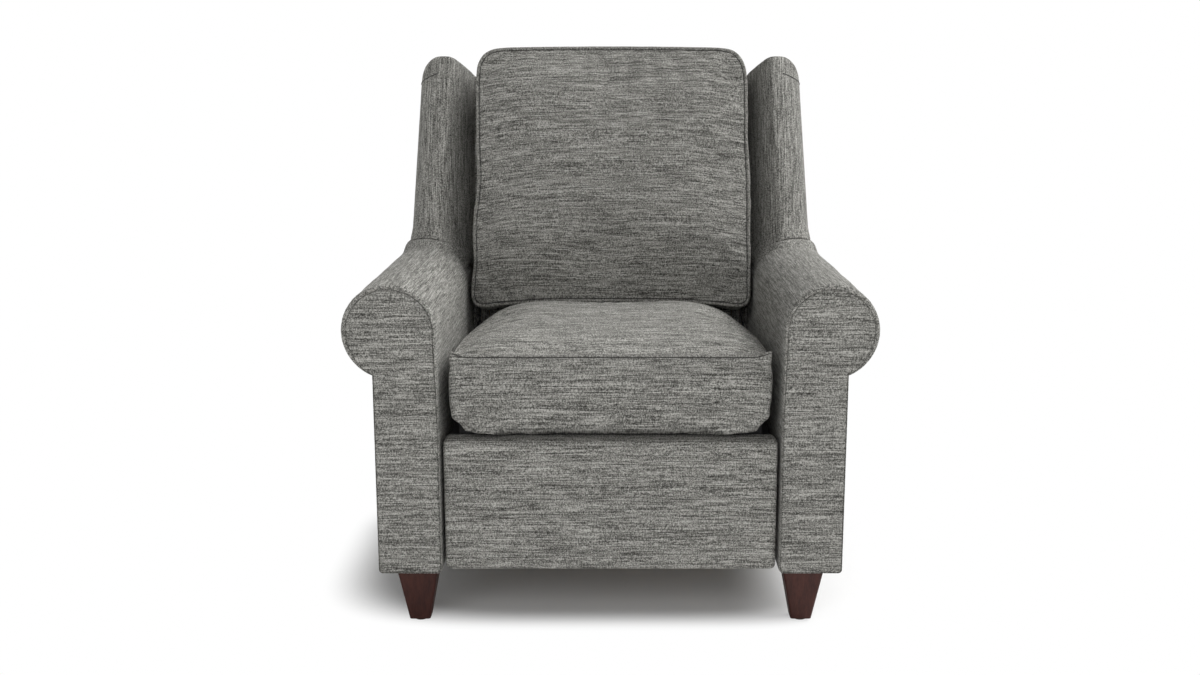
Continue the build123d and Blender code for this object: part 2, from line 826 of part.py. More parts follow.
def back_webbing():
    low = -back_frame_below + back_post
    high = back_frame_top - back_post
    pitch = (high - low) / webbing_count
    front = back_front - fit_gap - webbing_thickness
    bands = []
    for count in range(webbing_count):
        middle = low + pitch * (count + 0.5)
        bands.append(block(-back_frame_half + fit_gap, back_frame_half - fit_gap, front,
                           front + webbing_thickness, middle - webbing_width / 2, middle + webbing_width / 2))
    return group([back_place * band for band in bands])


def lower_back_panel():
    """Padded panel that hangs from the back's bottom rail and hides the gap behind the seat."""
    rear = back_front - fit_gap
    panel = block(-lower_panel_half, lower_panel_half, rear - lower_panel_thickness, rear,
                  -lower_panel_height - lower_panel_drop, -lower_panel_drop)
    return back_place * fillet(panel.edges().filter_by(Axis.X), lower_panel_thickness * 0.4)


def wing_half(height):
    """Half width over the wings at a height up the back: they lean in towards the top."""
    return wing_half_width - wing_taper * height / (back_top_z - wing_top_rounding)


def top_outline(low):
    """Front outline of the back above a height: rounded shoulders that dip towards the middle."""
    round_start = back_top_z - wing_top_rounding
    half_high = wing_half(round_start)
    shoulder = half_high - wing_top_rounding
    corner = polar((shoulder, round_start), wing_top_rounding, 45)
    dip = back_top_z - wing_top_dip
    inner = back_frame_half
    right = [
        Line((wing_half(low), low), (half_high, round_start)),
        ThreePointArc((half_high, round_start), corner, (shoulder, back_top_z)),
        ThreePointArc((shoulder, back_top_z), ((shoulder + inner) / 2, back_top_z - wing_top_dip * 0.3),
                      (inner, dip)),
    ]
    return right, inner, dip


def wing_section(half):
    """Section of the right wing: a round nose that slopes in behind the cushion's edge."""
    nose = polar((half - wing_nose, wing_setback + wing_nose), wing_nose, -45)
    cushion_side = back_cushion_half_bottom + seat_side_bulge + fit_gap * 5
    inner = back_frame_half + fit_gap
    rear = back_rear
    step = back_front - fit_gap
    shoulder = (half - wing_nose, wing_setback)
    slope_end = (cushion_side, wing_setback + wing_slope)
    return make_face([
        Line((inner, rear), (half, rear)),
        Line((half, rear), (half, wing_setback + wing_nose)),
        ThreePointArc((half, wing_setback + wing_nose), nose, shoulder),
        Line(shoulder, slope_end),
        Line(slope_end, (cushion_side, step)),
        Line((cushion_side, step), (inner, step)),
        Line((inner, step), (inner, rear)),
    ])


def right_wing():
    """Right wing: a padded side that stands on the arm's roll and clears the steel bracket beside it."""
    wing = loft([wing_section(wing_half(0.0)), Pos(0, 0, back_top_z) * wing_section(wing_half(back_top_z))], ruled=True)
    edges, inner, dip = top_outline(0.0)
    outline = make_face(edges + [Line((inner, dip), (inner, 0.0)), Line((inner, 0.0), (wing_half(0.0), 0.0))])
    wing &= extrude(Pos(0, back_rear + 1, 0) * (Plane.XZ * outline), back_rear + 2, dir=(0, -1, 0))
    wing = back_place * wing
    wing -= bar_y(roll_radius + wing_gap, front_y, -front_y, roll_x, roll_z)
    wing -= block(0, overall_width, front_y, -front_y, 0, roll_z + roll_radius / 2)
    return wing - side_plate(bracket_outline(fit_gap), back_frame_half, back_frame_half + 2 * fit_gap + steel)


def outside_back():
    """Upholstered rear of the back, with a pad over the frame's top and a flap below, between the arms."""
    low = -outside_back_below
    start = outside_back_front
    rear = outside_back_rear
    right, inner, dip = top_outline(low)
    left = [mirror(edge, about=Plane.YZ) for edge in right]
    outline = make_face(right + left + [Line((inner, dip), (-inner, dip)),
                                        Line((wing_half(low), low), (-wing_half(low), low))])
    shell = extrude(Pos(0, rear, 0) * (Plane.XZ * outline), rear - start, dir=(0, -1, 0))
    shell = fillet(shell.faces().sort_by(Axis.Y)[-1].edges(), back_rounding)
    flap_front = rear - back_flap_thickness * 1.5
    flap = block(-back_flap_half, back_flap_half, flap_front - back_flap_thickness / 2,
                 flap_front + back_flap_thickness / 2, low - back_flap_drop, low + back_rounding)
    cap = block(-inner, inner, back_front, start + back_rounding, dip - top_pad_thickness, dip)
    return back_place * (shell + flap + cap)


# Back brackets and lever
def bracket_outline(grow):
    """Outline in (y, z) from the pivot up the back frame's post and down to the cross tube, grown for its pocket."""
    post = back_place * Pos(0, (back_front + back_rear) / 2, back_post * 1.6)
    top = (post.position.Y, post.position.Z)
    pivot = (pivot_y, pivot_z)
    radius = slim_half_width * 2 + grow
    return stadium(yz(lever_tube), pivot, radius) + stadium(pivot, top, radius)


def back_bracket():
    """Right steel bracket that carries the back on its pivot."""
    inner = back_frame_half + fit_gap
    bracket = side_plate(bracket_outline(0.0), inner, inner + steel)
    return bracket - bar_x(running_hole, inner - 1, inner + steel + 1, pivot_y, pivot_z)


def back_pivot_pin():
    inner = back_frame_half + fit_gap
    rivet = bar_x(pin_radius, inner, plate_inner + steel, pivot_y, pivot_z)
    rivet += bar_x(pin_head_radius, inner + steel + layer_gap / 2, plate_inner - layer_gap / 2, pivot_y, pivot_z)
    return rivet + bar_x(pin_head_radius, plate_inner + steel, plate_inner + steel + pin_head, pivot_y, pivot_z)


def back_cross_tube():
    """Tube between the two back brackets with the lever that the recline rod pulls."""
    reach = back_frame_half + fit_gap
    tube = bar_x(tube_radius, -reach, reach, *yz(lever_tube))
    for side in (-1, 1):
        near = recline_x + side * fork_inner
        far = near + side * steel
        tube += side_plate(rounded_plate([yz(lever_tube), yz(lever_rest)], link_half_width),
                           min(near, far), max(near, far))
    span = fork_inner + steel
    return tube + bar_x(pin_radius, recline_x - span, recline_x + span, *yz(lever_rest))


# Control panel on the outside of the arm at the sitter's right hand
panel_y = front_y + panel_setback
panel_face = -arm_outer - panel_proud


def button_places():
    offset = (button_count - 1) / 2
    return [panel_y + (count - offset) * button_pitch for count in range(button_count)]


def panel_block(grow, depth):
    outline = RectangleRounded(panel_length + 2 * grow, panel_width + 2 * grow, panel_rounding)
    return side_plate(Pos(panel_y, panel_height) * outline, panel_face, panel_face + depth)


def control_panel():
    panel = panel_block(0, panel_depth)
    pocket = button_length - button_proud + button_travel + fit_gap
    for y in button_places():
        panel -= bar_x(button_radius + fit_gap, panel_face - 1, panel_face + pocket, y, panel_height)
    return panel


def button(y):
    start = panel_face - button_proud
    cap = bar_x(button_radius, start, start + button_length, y, panel_height)
    rim = cap.faces().sort_by(Axis.X)[0].edges()
    return fillet(rim, button_proud / 3)


# Electrics under the seat
def control_box():
    front = front_y + stretcher_setback + stretcher_depth / 2
    low = leg_height + rail_clearance_below + stretcher_height
    box = block(control_box_x - control_box_length / 2, control_box_x + control_box_length / 2,
                front - control_box_width / 2, front + control_box_width / 2, low, low + control_box_height)
    return fillet(box.edges().filter_by(Axis.Z) + box.faces().sort_by(Axis.Z)[-1].edges(), inlet_flange)


def inlet_bar(radius, y0, y1):
    return bar_y(radius, y0, y1, inlet_x, inlet_height)


def rear_rail_face():
    return arm_rear_y - arm_padding - rear_rail_inset


def power_inlet():
    face = rear_rail_face()
    socket = inlet_bar(inlet_radius, face - rear_rail_depth, face)
    socket += inlet_bar(inlet_flange_radius, face, face + inlet_flange)
    return socket - inlet_bar(inlet_bore, face + inlet_flange - inlet_depth, face + inlet_flange)


def base_rails():
    front, rear = stretcher_boxes(frame_inner - fit_gap, 0.0)
    face = rear_rail_face()
    rear -= inlet_bar(inlet_radius + pin_clearance, face - rear_rail_depth - 1, face + 1)
    return front, rear


# Export
os.makedirs("parts", exist_ok=True)

arm_right_side = right_arm()
arm_left_side = other_side(arm_right_side) - panel_block(fit_gap, panel_depth + fit_gap)
front_leg_y, rear_leg_y = leg_centres()
leg_places = [(x, y) for y in (front_leg_y, rear_leg_y) for x in (-leg_offset_x, leg_offset_x)]
front_stretcher, rear_base_rail = base_rails()

parts = {
    "arm_right": arm_right_side,
    "arm_left": arm_left_side,
    "arm_frame_right": arm_frame(),
    "arm_frame_left": other_side(arm_frame()),
    "leg_front_left": leg(-leg_offset_x, front_leg_y),
    "leg_front_right": leg(leg_offset_x, front_leg_y),
    "leg_rear_left": leg(-leg_offset_x, rear_leg_y),
    "leg_rear_right": leg(leg_offset_x, rear_leg_y),
    "leg_glides": group([bar_z(glide_radius, 0, glide_height, x, y) for x, y in leg_places]),
    "leg_bolts": group([bar_z(leg_bolt_radius, leg_height - leg_bolt_in_leg, leg_height + leg_bolt_in_frame, x, y)
                        for x, y in leg_places]),
    "front_stretcher": front_stretcher,
    "rear_base_rail": rear_base_rail,
    "mechanism_plate_right": mechanism_plate(),
    "mechanism_plate_left": other_side(mechanism_plate()),
    "plate_spacers": both_sides(plate_spacers()),
    "plate_pivot_pins": both_sides(plate_pivot_pins()),
    "front_cross_tube": cross_tube(front_tube),
    "rear_cross_tube": cross_tube(rear_tube),
    "seat_side_rails": both_sides(seat_side_rail()),
    "seat_front_rail": seat_front_rail(),
    "seat_rear_rail": seat_rear_rail(),
    "seat_springs": seat_springs(),
    "seat_deck": seat_deck(),
    "seat_cushion": seat_cushion(),
    "recline_motor": recline_motor(),
    "recline_tube": recline_tube(),
    "recline_rod": recline_rod(),
    "footrest_motor": footrest_motor(),
    "footrest_tube": footrest_tube(),
    "footrest_rod": footrest_rod(),
    "drive_links": drive_links(),
    "drive_crossbar": drive_crossbar(),
    "main_links": both_sides(main_link()),
    "main_link_pins": both_sides(main_link_pins()),
    "guide_links": both_sides(guide_link()),
    "carrier_links": both_sides(carrier_link()),
    "carrier_link_pins": both_sides(carrier_link_pins()),
    "control_links": both_sides(control_link()),
    "footrest_brackets": both_sides(footrest_bracket()),
    "bracket_pins": both_sides(bracket_pin()),
    "footrest_board": footrest_board(),
    "footrest_pad": footrest_pad(),
    "back_frame": back_frame(),
    "back_webbing": back_webbing(),
    "back_bracket_right": back_bracket(),
    "back_bracket_left": other_side(back_bracket()),
    "back_pivot_pins": both_sides(back_pivot_pin()),
    "back_cross_tube": back_cross_tube(),
    "wing_right": right_wing(),
    "wing_left": other_side(right_wing()),
    "outside_back": outside_back(),
    "back_cushion": back_place * back_cushion(),
    "lower_back_panel": lower_back_panel(),
    "control_panel": control_panel(),
    "control_box": control_box(),
    "power_inlet": power_inlet(),
}
for count, place in enumerate(button_places()):
    parts[f"button_{count + 1}"] = button(place)

for name, shape in parts.items():
    export_step(shape, f"parts/{name}.step")
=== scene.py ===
from functools import cache
from math import atan2, cos, degrees, exp, pi, radians, sin, sqrt

import bmesh
import bpy
import numpy as np
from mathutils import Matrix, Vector, noise
from mathutils.bvhtree import BVHTree
from mathutils.geometry import delaunay_2d_cdt
from mathutils.kdtree import KDTree


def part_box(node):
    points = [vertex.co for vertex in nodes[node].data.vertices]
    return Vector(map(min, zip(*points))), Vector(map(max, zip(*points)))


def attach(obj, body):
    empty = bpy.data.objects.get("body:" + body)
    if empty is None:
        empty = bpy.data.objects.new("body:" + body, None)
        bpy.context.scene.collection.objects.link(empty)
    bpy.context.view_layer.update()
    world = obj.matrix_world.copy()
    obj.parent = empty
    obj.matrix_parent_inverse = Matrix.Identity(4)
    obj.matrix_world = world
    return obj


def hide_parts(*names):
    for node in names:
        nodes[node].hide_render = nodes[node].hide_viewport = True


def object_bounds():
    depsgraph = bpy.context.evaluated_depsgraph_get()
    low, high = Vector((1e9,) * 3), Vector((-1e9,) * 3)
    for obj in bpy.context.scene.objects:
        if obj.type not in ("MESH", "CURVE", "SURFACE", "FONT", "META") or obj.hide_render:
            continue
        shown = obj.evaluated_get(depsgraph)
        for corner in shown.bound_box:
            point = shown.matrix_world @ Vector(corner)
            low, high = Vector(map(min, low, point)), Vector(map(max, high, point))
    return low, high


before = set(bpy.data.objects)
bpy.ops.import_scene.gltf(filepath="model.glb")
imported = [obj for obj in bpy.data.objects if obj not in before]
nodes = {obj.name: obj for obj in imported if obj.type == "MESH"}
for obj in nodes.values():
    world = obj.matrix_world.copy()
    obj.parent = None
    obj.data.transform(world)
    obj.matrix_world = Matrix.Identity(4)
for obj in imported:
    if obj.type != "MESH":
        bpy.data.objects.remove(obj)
cad_low, cad_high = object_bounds()
scene = bpy.context.scene
scene.view_settings.view_transform = "Standard"

# Lengths in this script are millimetres until a mesh is made, and the frame is in metres.
MM = 0.001
SIDES = ((1, "right"), (-1, "left"))

# The chair's main places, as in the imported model
FRONT = cad_low.y / MM
ARM_INNER = 295.0
ARM_OUTER = 406.0
ARM_BOTTOM = 102.0
ARM_LENGTH = 660.0
ROLL_X = 376.0
ROLL_Z = 532.0
ROLL_R = 81.0
BACK_Y = 55.0
BACK_Z = 505.0
BACK_TILT = radians(13.0)
BACK_COS = cos(BACK_TILT)
BACK_SIN = sin(BACK_TILT)
WING_INNER = 291.5
WING_SETBACK = 15.0
WING_SLOPE = 33.0
WING_NOSE = 80.0
WING_GAP = 5.0
WING_HEIGHT = 459.0
SHOULDER_LOW = 346.0
SHOULDER_HIGH = 320.0
SEAT_FRONT = FRONT + 19.0
SEAT_REAR = SEAT_FRONT + 519.0


# Materials
X, Y, Z = 0, 1, 2


def empty_tree(owner):
    """The cleared node tree of a material or a world."""
    owner.use_nodes = True
    owner.node_tree.nodes.clear()
    return owner.node_tree


def node(tree, kind, links=(), **values):
    """A shader node with properties, input values and links into its inputs, from outputs or nodes."""
    made = tree.nodes.new("ShaderNode" + kind)
    for key, value in values.items():
        if key.startswith("in_"):
            made.inputs[int(key[3:])].default_value = value
        else:
            setattr(made, key, value)
    for source, index in links:
        output = source.outputs[0] if isinstance(source, bpy.types.Node) else source
        tree.links.new(output, made.inputs[index])
    return made


def set_inputs(made, **values):
    """Sets inputs of a node by their names, with underscores for spaces."""
    for key, value in values.items():
        made.inputs[key.replace("_", " ")].default_value = value


def stretched_noise(tree, coords, scale, offset, detail, roughness):
    """Noise whose grain is set for each axis by scale, in grains per metre."""
    mapping = node(tree, "Mapping", [(coords, 0)])
    set_inputs(mapping, Scale=scale, Location=offset)
    made = node(tree, "TexNoise", [(mapping, 0)])
    set_inputs(made, Scale=1.0, Detail=detail, Roughness=roughness)
    return made


def weighted_sum(tree, values, weights):
    """A half plus the sum of weight times (value less a half) over what has a weight."""
    total = node(tree, "Value")
    total.outputs[0].default_value = 0.5
    for value, weight in zip(values, weights):
        if weight:
            term = node(tree, "Math", [(value, 0)], operation="MULTIPLY_ADD", in_1=weight, in_2=-0.5 * weight)
            total = node(tree, "Math", [(total, 0), (term, 1)], operation="ADD")
    return total


def surface(name, layers, stops, rough, relief, tilt=0.0, **inputs):
    """A principled material made of layers of noise in the row frame, turned by a tilt about X.

    A layer is its grains per metre on each axis, offset, detail, roughness, and weights in colour and
    relief. stops is a colour ramp over the layers' sum. rough maps a span of one layer, or of the sum for
    None, to roughness. relief is the bump's strength and distance.
    """
    material = bpy.data.materials.new(name)
    tree = empty_tree(material)
    coords = node(tree, "TexCoord").outputs["Object"]
    if tilt:
        coords = node(tree, "Mapping", [(coords, 0)])
        set_inputs(coords, Rotation=(tilt, 0.0, 0.0))
    noises = [stretched_noise(tree, coords, *layer[:4]) for layer in layers]
    value = weighted_sum(tree, noises, [layer[4] for layer in layers])
    ramp = node(tree, "ValToRGB", [(value, 0)])
    elements = ramp.color_ramp.elements
    while len(elements) < len(stops):
        elements.new(0.5)
    for element, (position, colour) in zip(elements, stops):
        element.position = position
        element.color = (*colour, 1.0)
    bump = node(tree, "Bump", [(weighted_sum(tree, noises, [layer[5] for layer in layers]), "Height")])
    set_inputs(bump, Strength=relief[0], Distance=relief[1])
    links = [(ramp, "Base Color"), (bump, "Normal")]
    if rough:
        index, low, high, at_low, at_high = rough
        source = value if index is None else noises[index]
        mapped = node(tree, "MapRange", [(source, 0)], in_1=low, in_2=high, in_3=at_low, in_4=at_high)
        links.append((mapped, "Roughness"))
    shader = node(tree, "BsdfPrincipled", links)
    set_inputs(shader, **inputs)
    node(tree, "OutputMaterial", [(shader, 0)])
    return material


def axis_scale(axis, lengthwise, across):
    return tuple(lengthwise if index == axis else across for index in range(3))


def two_tones(base, contrast, margin):
    """Stops from a darker to a lighter tone of one colour."""
    low = tuple(channel * (1 - contrast) for channel in base)
    high = tuple(min(1.0, channel * (1 + contrast)) for channel in base)
    return [(margin, low), (1.0 - margin, high)]


FABRIC_STOPS = [(0.10, (0.034, 0.0335, 0.0305)), (0.37, (0.122, 0.120, 0.1105)),
                (0.54, (0.235, 0.2315, 0.2145)), (0.84, (0.46, 0.453, 0.423))]
# Slubs, short slubs, yarns, warp and broad bands: grains per metre along and across, offset, weight in
# the colour, whether streak changes it, and weight in the relief
WEAVE = [(13.0, 430.0, (3.1, 7.7, 1.3), 0.74, True, 0.5), (40.0, 560.0, (9.2, 2.4, 5.8), 0.64, True, 0.6),
         (430.0, 520.0, (1.7, 4.9, 8.1), 1.05, False, 0.9), (500.0, 190.0, (6.3, 0.8, 2.2), 0.55, False, 0.8),
         (7.0, 90.0, (4.2, 6.6, 0.9), 0.16, True, 0.0)]


def fabric(name, axis, tilt=0.0, streak=1.0, turn=30.0):
    """Heathered woven cover: slub yarns along one axis over a fine weave of light and dark threads.

    Cloth across the chair is mapped on a frame turned about X, so that its yarns go on from a front over
    a top and don't break up on bulges.
    """
    layers = []
    for lengthwise, across, offset, weight, streaky, relief in WEAVE:
        scale = axis_scale(axis, lengthwise, across)
        if axis == X:
            scale = (lengthwise, 0.12 * across, 1.15 * across)
        layers.append((scale, offset, 1.0, 0.5, weight * streak if streaky else weight, relief))
    return surface(name, layers, FABRIC_STOPS, (None, 0.2, 0.8, 0.95, 0.82), (0.45, 0.0009),
                   radians(turn) if axis == X else tilt, Specular_IOR_Level=0.05, Sheen_Weight=0.12,
                   Sheen_Roughness=0.45, Sheen_Tint=(0.95, 0.94, 0.90, 1.0))


def wood(name, axis, tones, roughness):
    """Grain along one axis: growth bands, fine lines and pores, with a satin finish."""
    layers = [(axis_scale(axis, 3.5, 34.0), (1.4, 6.2, 3.3), 4.0, 0.6, 1.1, 0.0),
              (axis_scale(axis, 9.0, 190.0), (4.4, 3.9, 0.7), 3.0, 0.55, 0.9, 0.0),
              (axis_scale(axis, 22.0, 620.0), (8.4, 1.1, 4.6), 3.0, 0.6, 0.6, 1.0)]
    return surface(name, layers, list(zip((0.22, 0.50, 0.80), tones)),
                   (2, 0.3, 0.7, roughness + 0.1, roughness - 0.05), (0.25, 0.0004), Specular_IOR_Level=0.3)


def metal(name, base, contrast, roughness, metallic):
    """Painted or plated steel, slightly uneven in tone and roughness."""
    layers = [((14.0,) * 3, (2.0, 5.0, 1.0), 3.0, 0.6, 0.9, 0.0),
              ((260.0,) * 3, (7.0, 3.0, 9.0), 2.0, 0.6, 0.7, 1.0)]
    return surface(name, layers, two_tones(base, contrast, 0.25),
                   (None, 0.2, 0.8, roughness - 0.07, roughness + 0.1), (0.2, 0.0003), Metallic=metallic)


def moulded(name, base, roughness):
    """Moulded plastic with a fine spark texture."""
    layers = [((30.0,) * 3, (1.0, 2.0, 3.0), 2.0, 0.5, 0.8, 0.0),
              ((900.0,) * 3, (4.0, 8.0, 6.0), 2.0, 0.6, 0.5, 1.0)]
    return surface(name, layers, two_tones(base, 0.12, 0.25),
                   (1, 0.3, 0.7, roughness - 0.08, roughness + 0.08), (0.3, 0.0002))


def felt(name, base, scale, contrast):
    """Needled felt, woven band, or dark cord that stands for the shade in a seam's groove: tangled fibres
    over a slightly uneven tone.
    """
    layers = [(scale, (3.0, 1.0, 7.0), 4.0, 0.65, 1.2, 1.0),
              ((18.0,) * 3, (5.0, 9.0, 2.0), 2.0, 0.5, 0.5, 0.0)]
    return surface(name, layers, two_tones(base, contrast, 0.2), None, (0.5, 0.0008), Roughness=0.95)


DARK_STAIN = [(0.022, 0.0046, 0.0029), (0.036, 0.0086, 0.0054), (0.052, 0.0138, 0.0086)]
BARE_WOOD = [(0.36, 0.24, 0.135), (0.55, 0.40, 0.245), (0.68, 0.53, 0.35)]
fabric_x = fabric("fabric_across", X)
fabric_rear = fabric("fabric_rear", X, turn=-30.0)
fabric_y = fabric("fabric_lengthwise", Y)
fabric_up = fabric("fabric_upright", Z, tilt=BACK_TILT)
fabric_bias = fabric("fabric_bias", X, streak=0.35)
leg_wood = wood("leg_wood", Z, DARK_STAIN, 0.5)
frame_wood = wood("frame_wood", X, BARE_WOOD, 0.7)
frame_wood_y = wood("frame_wood_lengthwise", Y, BARE_WOOD, 0.7)
frame_wood_z = wood("frame_wood_upright", Z, BARE_WOOD, 0.7)
black_steel = metal("black_steel", (0.026, 0.026, 0.028), 0.35, 0.42, 0.0)
zinc_steel = metal("zinc_steel", (0.62, 0.63, 0.65), 0.14, 0.34, 1.0)
motor_plastic = moulded("motor_plastic", (0.030, 0.030, 0.033), 0.55)
panel_plastic = moulded("panel_plastic", (0.045, 0.045, 0.048), 0.42)
button_plastic = moulded("button_plastic", (0.30, 0.305, 0.32), 0.45)
glide_plastic = moulded("glide_plastic", (0.022, 0.020, 0.019), 0.6)
deck_felt = felt("deck_felt", (0.045, 0.045, 0.047), (420.0,) * 3, 0.5)
webbing_cloth = felt("webbing_cloth", (0.23, 0.19, 0.145), (60.0, 900.0, 700.0), 0.45)
# Painted shade: a near-black cord colour laid along seam lines and grooves to stand for the shade in them.
painted_seam_shade = felt("painted_seam_shade", (0.035, 0.034, 0.032), (900.0,) * 3, 0.4)


# Mesh helpers
def link(name, data):
    """A new object with this data in the scene."""
    made = bpy.data.objects.new(name, data)
    scene.collection.objects.link(made)
    return made


def wear(mesh, material):
    """Gives a mesh one material."""
    mesh.materials.clear()
    mesh.materials.append(material)


def finish_mesh(name, bm, material):
    """A smooth shaded object from a bmesh in millimetres."""
    bmesh.ops.recalc_face_normals(bm, faces=bm.faces)
    bmesh.ops.scale(bm, vec=(MM, MM, MM), verts=bm.verts)
    mesh = bpy.data.meshes.new(name)
    bm.to_mesh(mesh)
    bm.free()
    wear(mesh, material)
    mesh.polygons.foreach_set("use_smooth", [True] * len(mesh.polygons))
    return link(name, mesh)


def loft(rings, bm=None, caps=True):
    """A bmesh, or an addition to one, of quads through rings of equal length, with flat caps."""
    bm = bm or bmesh.new()
    rows = [[bm.verts.new(point) for point in ring] for ring in rings]
    count = len(rows[0])
    for lower, upper in zip(rows, rows[1:]):
        for index in range(count):
            after = (index + 1) % count
            bm.faces.new((lower[index], lower[after], upper[after], upper[index]))
    if caps:
        fill_cap(bm, rows[0])
        fill_cap(bm, rows[-1])
    return bm


def fill_cap(bm, row):
    """Closes a flat ring of vertices with triangles between its own points."""
    middle = sum((vert.co for vert in row), Vector()) / len(row)
    arms = [vert.co - middle for vert in row]
    normal = sum((a.cross(b) for a, b in zip(arms, arms[1:] + arms[:1])), Vector()).normalized()
    across = normal.orthogonal().normalized()
    up = normal.cross(across)
    flat = [Vector((arm.dot(across), arm.dot(up))) for arm in arms]
    edges = [(index, (index + 1) % len(row)) for index in range(len(row))]
    faces, origins = delaunay_2d_cdt(flat, edges, [], 1, 1e-5)[2:4]
    for face in faces:
        corners = [row[origins[index][0]] for index in face]
        if len(set(corners)) == 3:
            bm.faces.new(corners)


def dress(piece, body, slot, *replaced, fill=None):
    """Ties a piece to its body and hides the CAD nodes that it stands for; its material slot is not used."""
    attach(piece, body)
    if replaced:
        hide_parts(*replaced)
    return piece


def wobble(point, size, amount, seed):
    """A smooth random offset at a point in millimetres, the same on every run."""
    x, y, z = point
    return amount * noise.noise(Vector((x / size + seed, y / size - seed, z / size + 2 * seed)))


def lerp(a, b, share):
    return a + (b - a) * share


def smoothstep(low, high, value):
    share = min(1.0, max(0.0, (value - low) / (high - low)))
    return share * share * (3.0 - 2.0 * share)


def spread(start, end, count):
    """count points from start towards end, without the end."""
    return [tuple(lerp(a, b, index / count) for a, b in zip(start, end)) for index in range(count)]


def arc(centre, radius, start, end, count):
    """count points on an arc from start towards end in degrees, without the end."""
    points = []
    for index in range(count):
        angle = radians(lerp(start, end, index / count))
        points.append((centre[0] + radius * cos(angle), centre[1] + radius * sin(angle)))
    return points


def rounded_loop(low, high, r, across, up, turn):
    """Loop of a rectangle with round corners, with counts of points for its edges and its corners."""
    (x0, z0), (x1, z1) = low, high
    points = spread((x0 + r, z0), (x1 - r, z0), across)
    points += arc((x1 - r, z0 + r), r, -90, 0, turn)
    points += spread((x1, z0 + r), (x1, z1 - r), up)
    points += arc((x1 - r, z1 - r), r, 0, 90, turn)
    points += spread((x1 - r, z1), (x0 + r, z1), across)
    points += arc((x0 + r, z1 - r), r, 90, 180, turn)
    points += spread((x0, z1 - r), (x0, z0 + r), up)
    points += arc((x0 + r, z0 + r), r, 180, 270, turn)
    return points


def along(table, place):
    """Value of a table of (place, value) pairs at a place."""
    places, values = zip(*table)
    return float(np.interp(place, places, values))


def even(points, rounds):
    """A closed line with its small steps smoothed out."""
    line = np.array(points)
    for _ in range(rounds):
        line = 0.5 * line + 0.25 * np.roll(line, 1, axis=0) + 0.25 * np.roll(line, -1, axis=0)
    return [tuple(point) for point in line]


def coords_of(piece):
    values = np.zeros(len(piece.data.vertices) * 3)
    piece.data.vertices.foreach_get("co", values)
    return values.reshape(-1, 3)


def set_coords(piece, values):
    piece.data.vertices.foreach_set("co", np.ascontiguousarray(values).ravel())
    piece.data.update()


def modify(piece, kind, **settings):
    """Adds a modifier of a kind to a piece, with its settings."""
    made = piece.modifiers.new(kind.lower(), kind)
    for key, value in settings.items():
        setattr(made, key, value)
    return made


def bake(piece):
    """Puts the result of a piece's modifiers into its mesh."""
    graph = bpy.context.evaluated_depsgraph_get()
    evaluated = piece.evaluated_get(graph)
    material = piece.data.materials[0]
    mesh = bpy.data.meshes.new_from_object(evaluated)
    piece.modifiers.clear()
    piece.data = mesh
    wear(mesh, material)
    mesh.polygons.foreach_set("use_smooth", [True] * len(mesh.polygons))


# The back's own frame: x across, w to the rear and t up the back
def to_world(x, w, t):
    """A point of the back's own frame in the row frame."""
    return (x, BACK_Y + w * BACK_COS + t * BACK_SIN, BACK_Z + t * BACK_COS - w * BACK_SIN)


def from_world(y, z):
    """The place (w, t) in the back's own frame of a place in the row frame."""
    run, rise = y - BACK_Y, z - BACK_Z
    return run * BACK_COS - rise * BACK_SIN, run * BACK_SIN + rise * BACK_COS


def up_back(z, w):
    """How far up the back a height in the row frame lies, at a depth in the back."""
    return (z - BACK_Z + w * BACK_SIN) / BACK_COS


def push(point, w, t):
    """Moves a point of the row frame by an amount in the back's own frame."""
    point[1] += w * BACK_COS + t * BACK_SIN
    point[2] += t * BACK_COS - w * BACK_SIN


# Arms
# Points along the outline of an arm's section, from its lower inner corner
BOTTOM_POINTS = 12
CORNER_POINTS = 5
OUTSIDE_POINTS = 26
ROLL_POINTS = 144
INSIDE_POINTS = 32
ROLL_START = BOTTOM_POINTS + CORNER_POINTS + OUTSIDE_POINTS
RING_POINTS = ROLL_START + ROLL_POINTS + INSIDE_POINTS + CORNER_POINTS
# How the covers turn in: (out from the seam, depth), (way to the rear end, inset), (in from the seam, depth)
SEAM_INSET = 8.5
WRAP_FRONT = [(0.0, 3.2), (0.9, 1.3), (2.2, 0.4), (3.8, 0.0), (5.4, 0.5), (6.7, 2.0), (7.7, 4.4), (8.5, 9.0)]
WRAP_REAR = [(8.0, 1.0), (4.5, 4.0), (2.0, 8.0), (0.5, 14.0), (0.0, 28.0), (0.0, 44.0)]
PANEL_FRONT = [(0.0, 3.0), (0.8, 1.3), (2.0, 0.5), (4.5, 0.0), (9.0, -0.5), (15.0, -0.7)]
# Where wing and arm meet: the cover's step up, the way over which it rises, the flare of the wing's foot
WING_STEP = 12.0
WING_RAMP = 46.0
WING_FLARE = 8.0


@cache
def arm_ring(inset):
    """Outline of the right arm's section in (x, z), drawn in by an inset."""
    left = ARM_INNER + inset
    right = ARM_OUTER - inset
    low = ARM_BOTTOM - 0.8 + inset
    radius = ROLL_R - inset
    corner = max(2.0, 7.0 - 0.25 * inset)
    roll_low = ROLL_Z - sqrt(radius ** 2 - (right - ROLL_X) ** 2)
    start = degrees(atan2(roll_low - ROLL_Z, right - ROLL_X))
    points = spread((left + corner, low), (right - corner, low), BOTTOM_POINTS)
    points += arc((right - corner, low + corner), corner, -90, 0, CORNER_POINTS)
    points += spread((right, low + corner), (right, roll_low), OUTSIDE_POINTS)
    points += arc((ROLL_X, ROLL_Z), radius, start, 180, ROLL_POINTS)
    points += spread((ROLL_X - radius, ROLL_Z), (left, low + corner), INSIDE_POINTS)
    points += arc((left + corner, low + corner), corner, 180, 270, CORNER_POINTS)
    return points


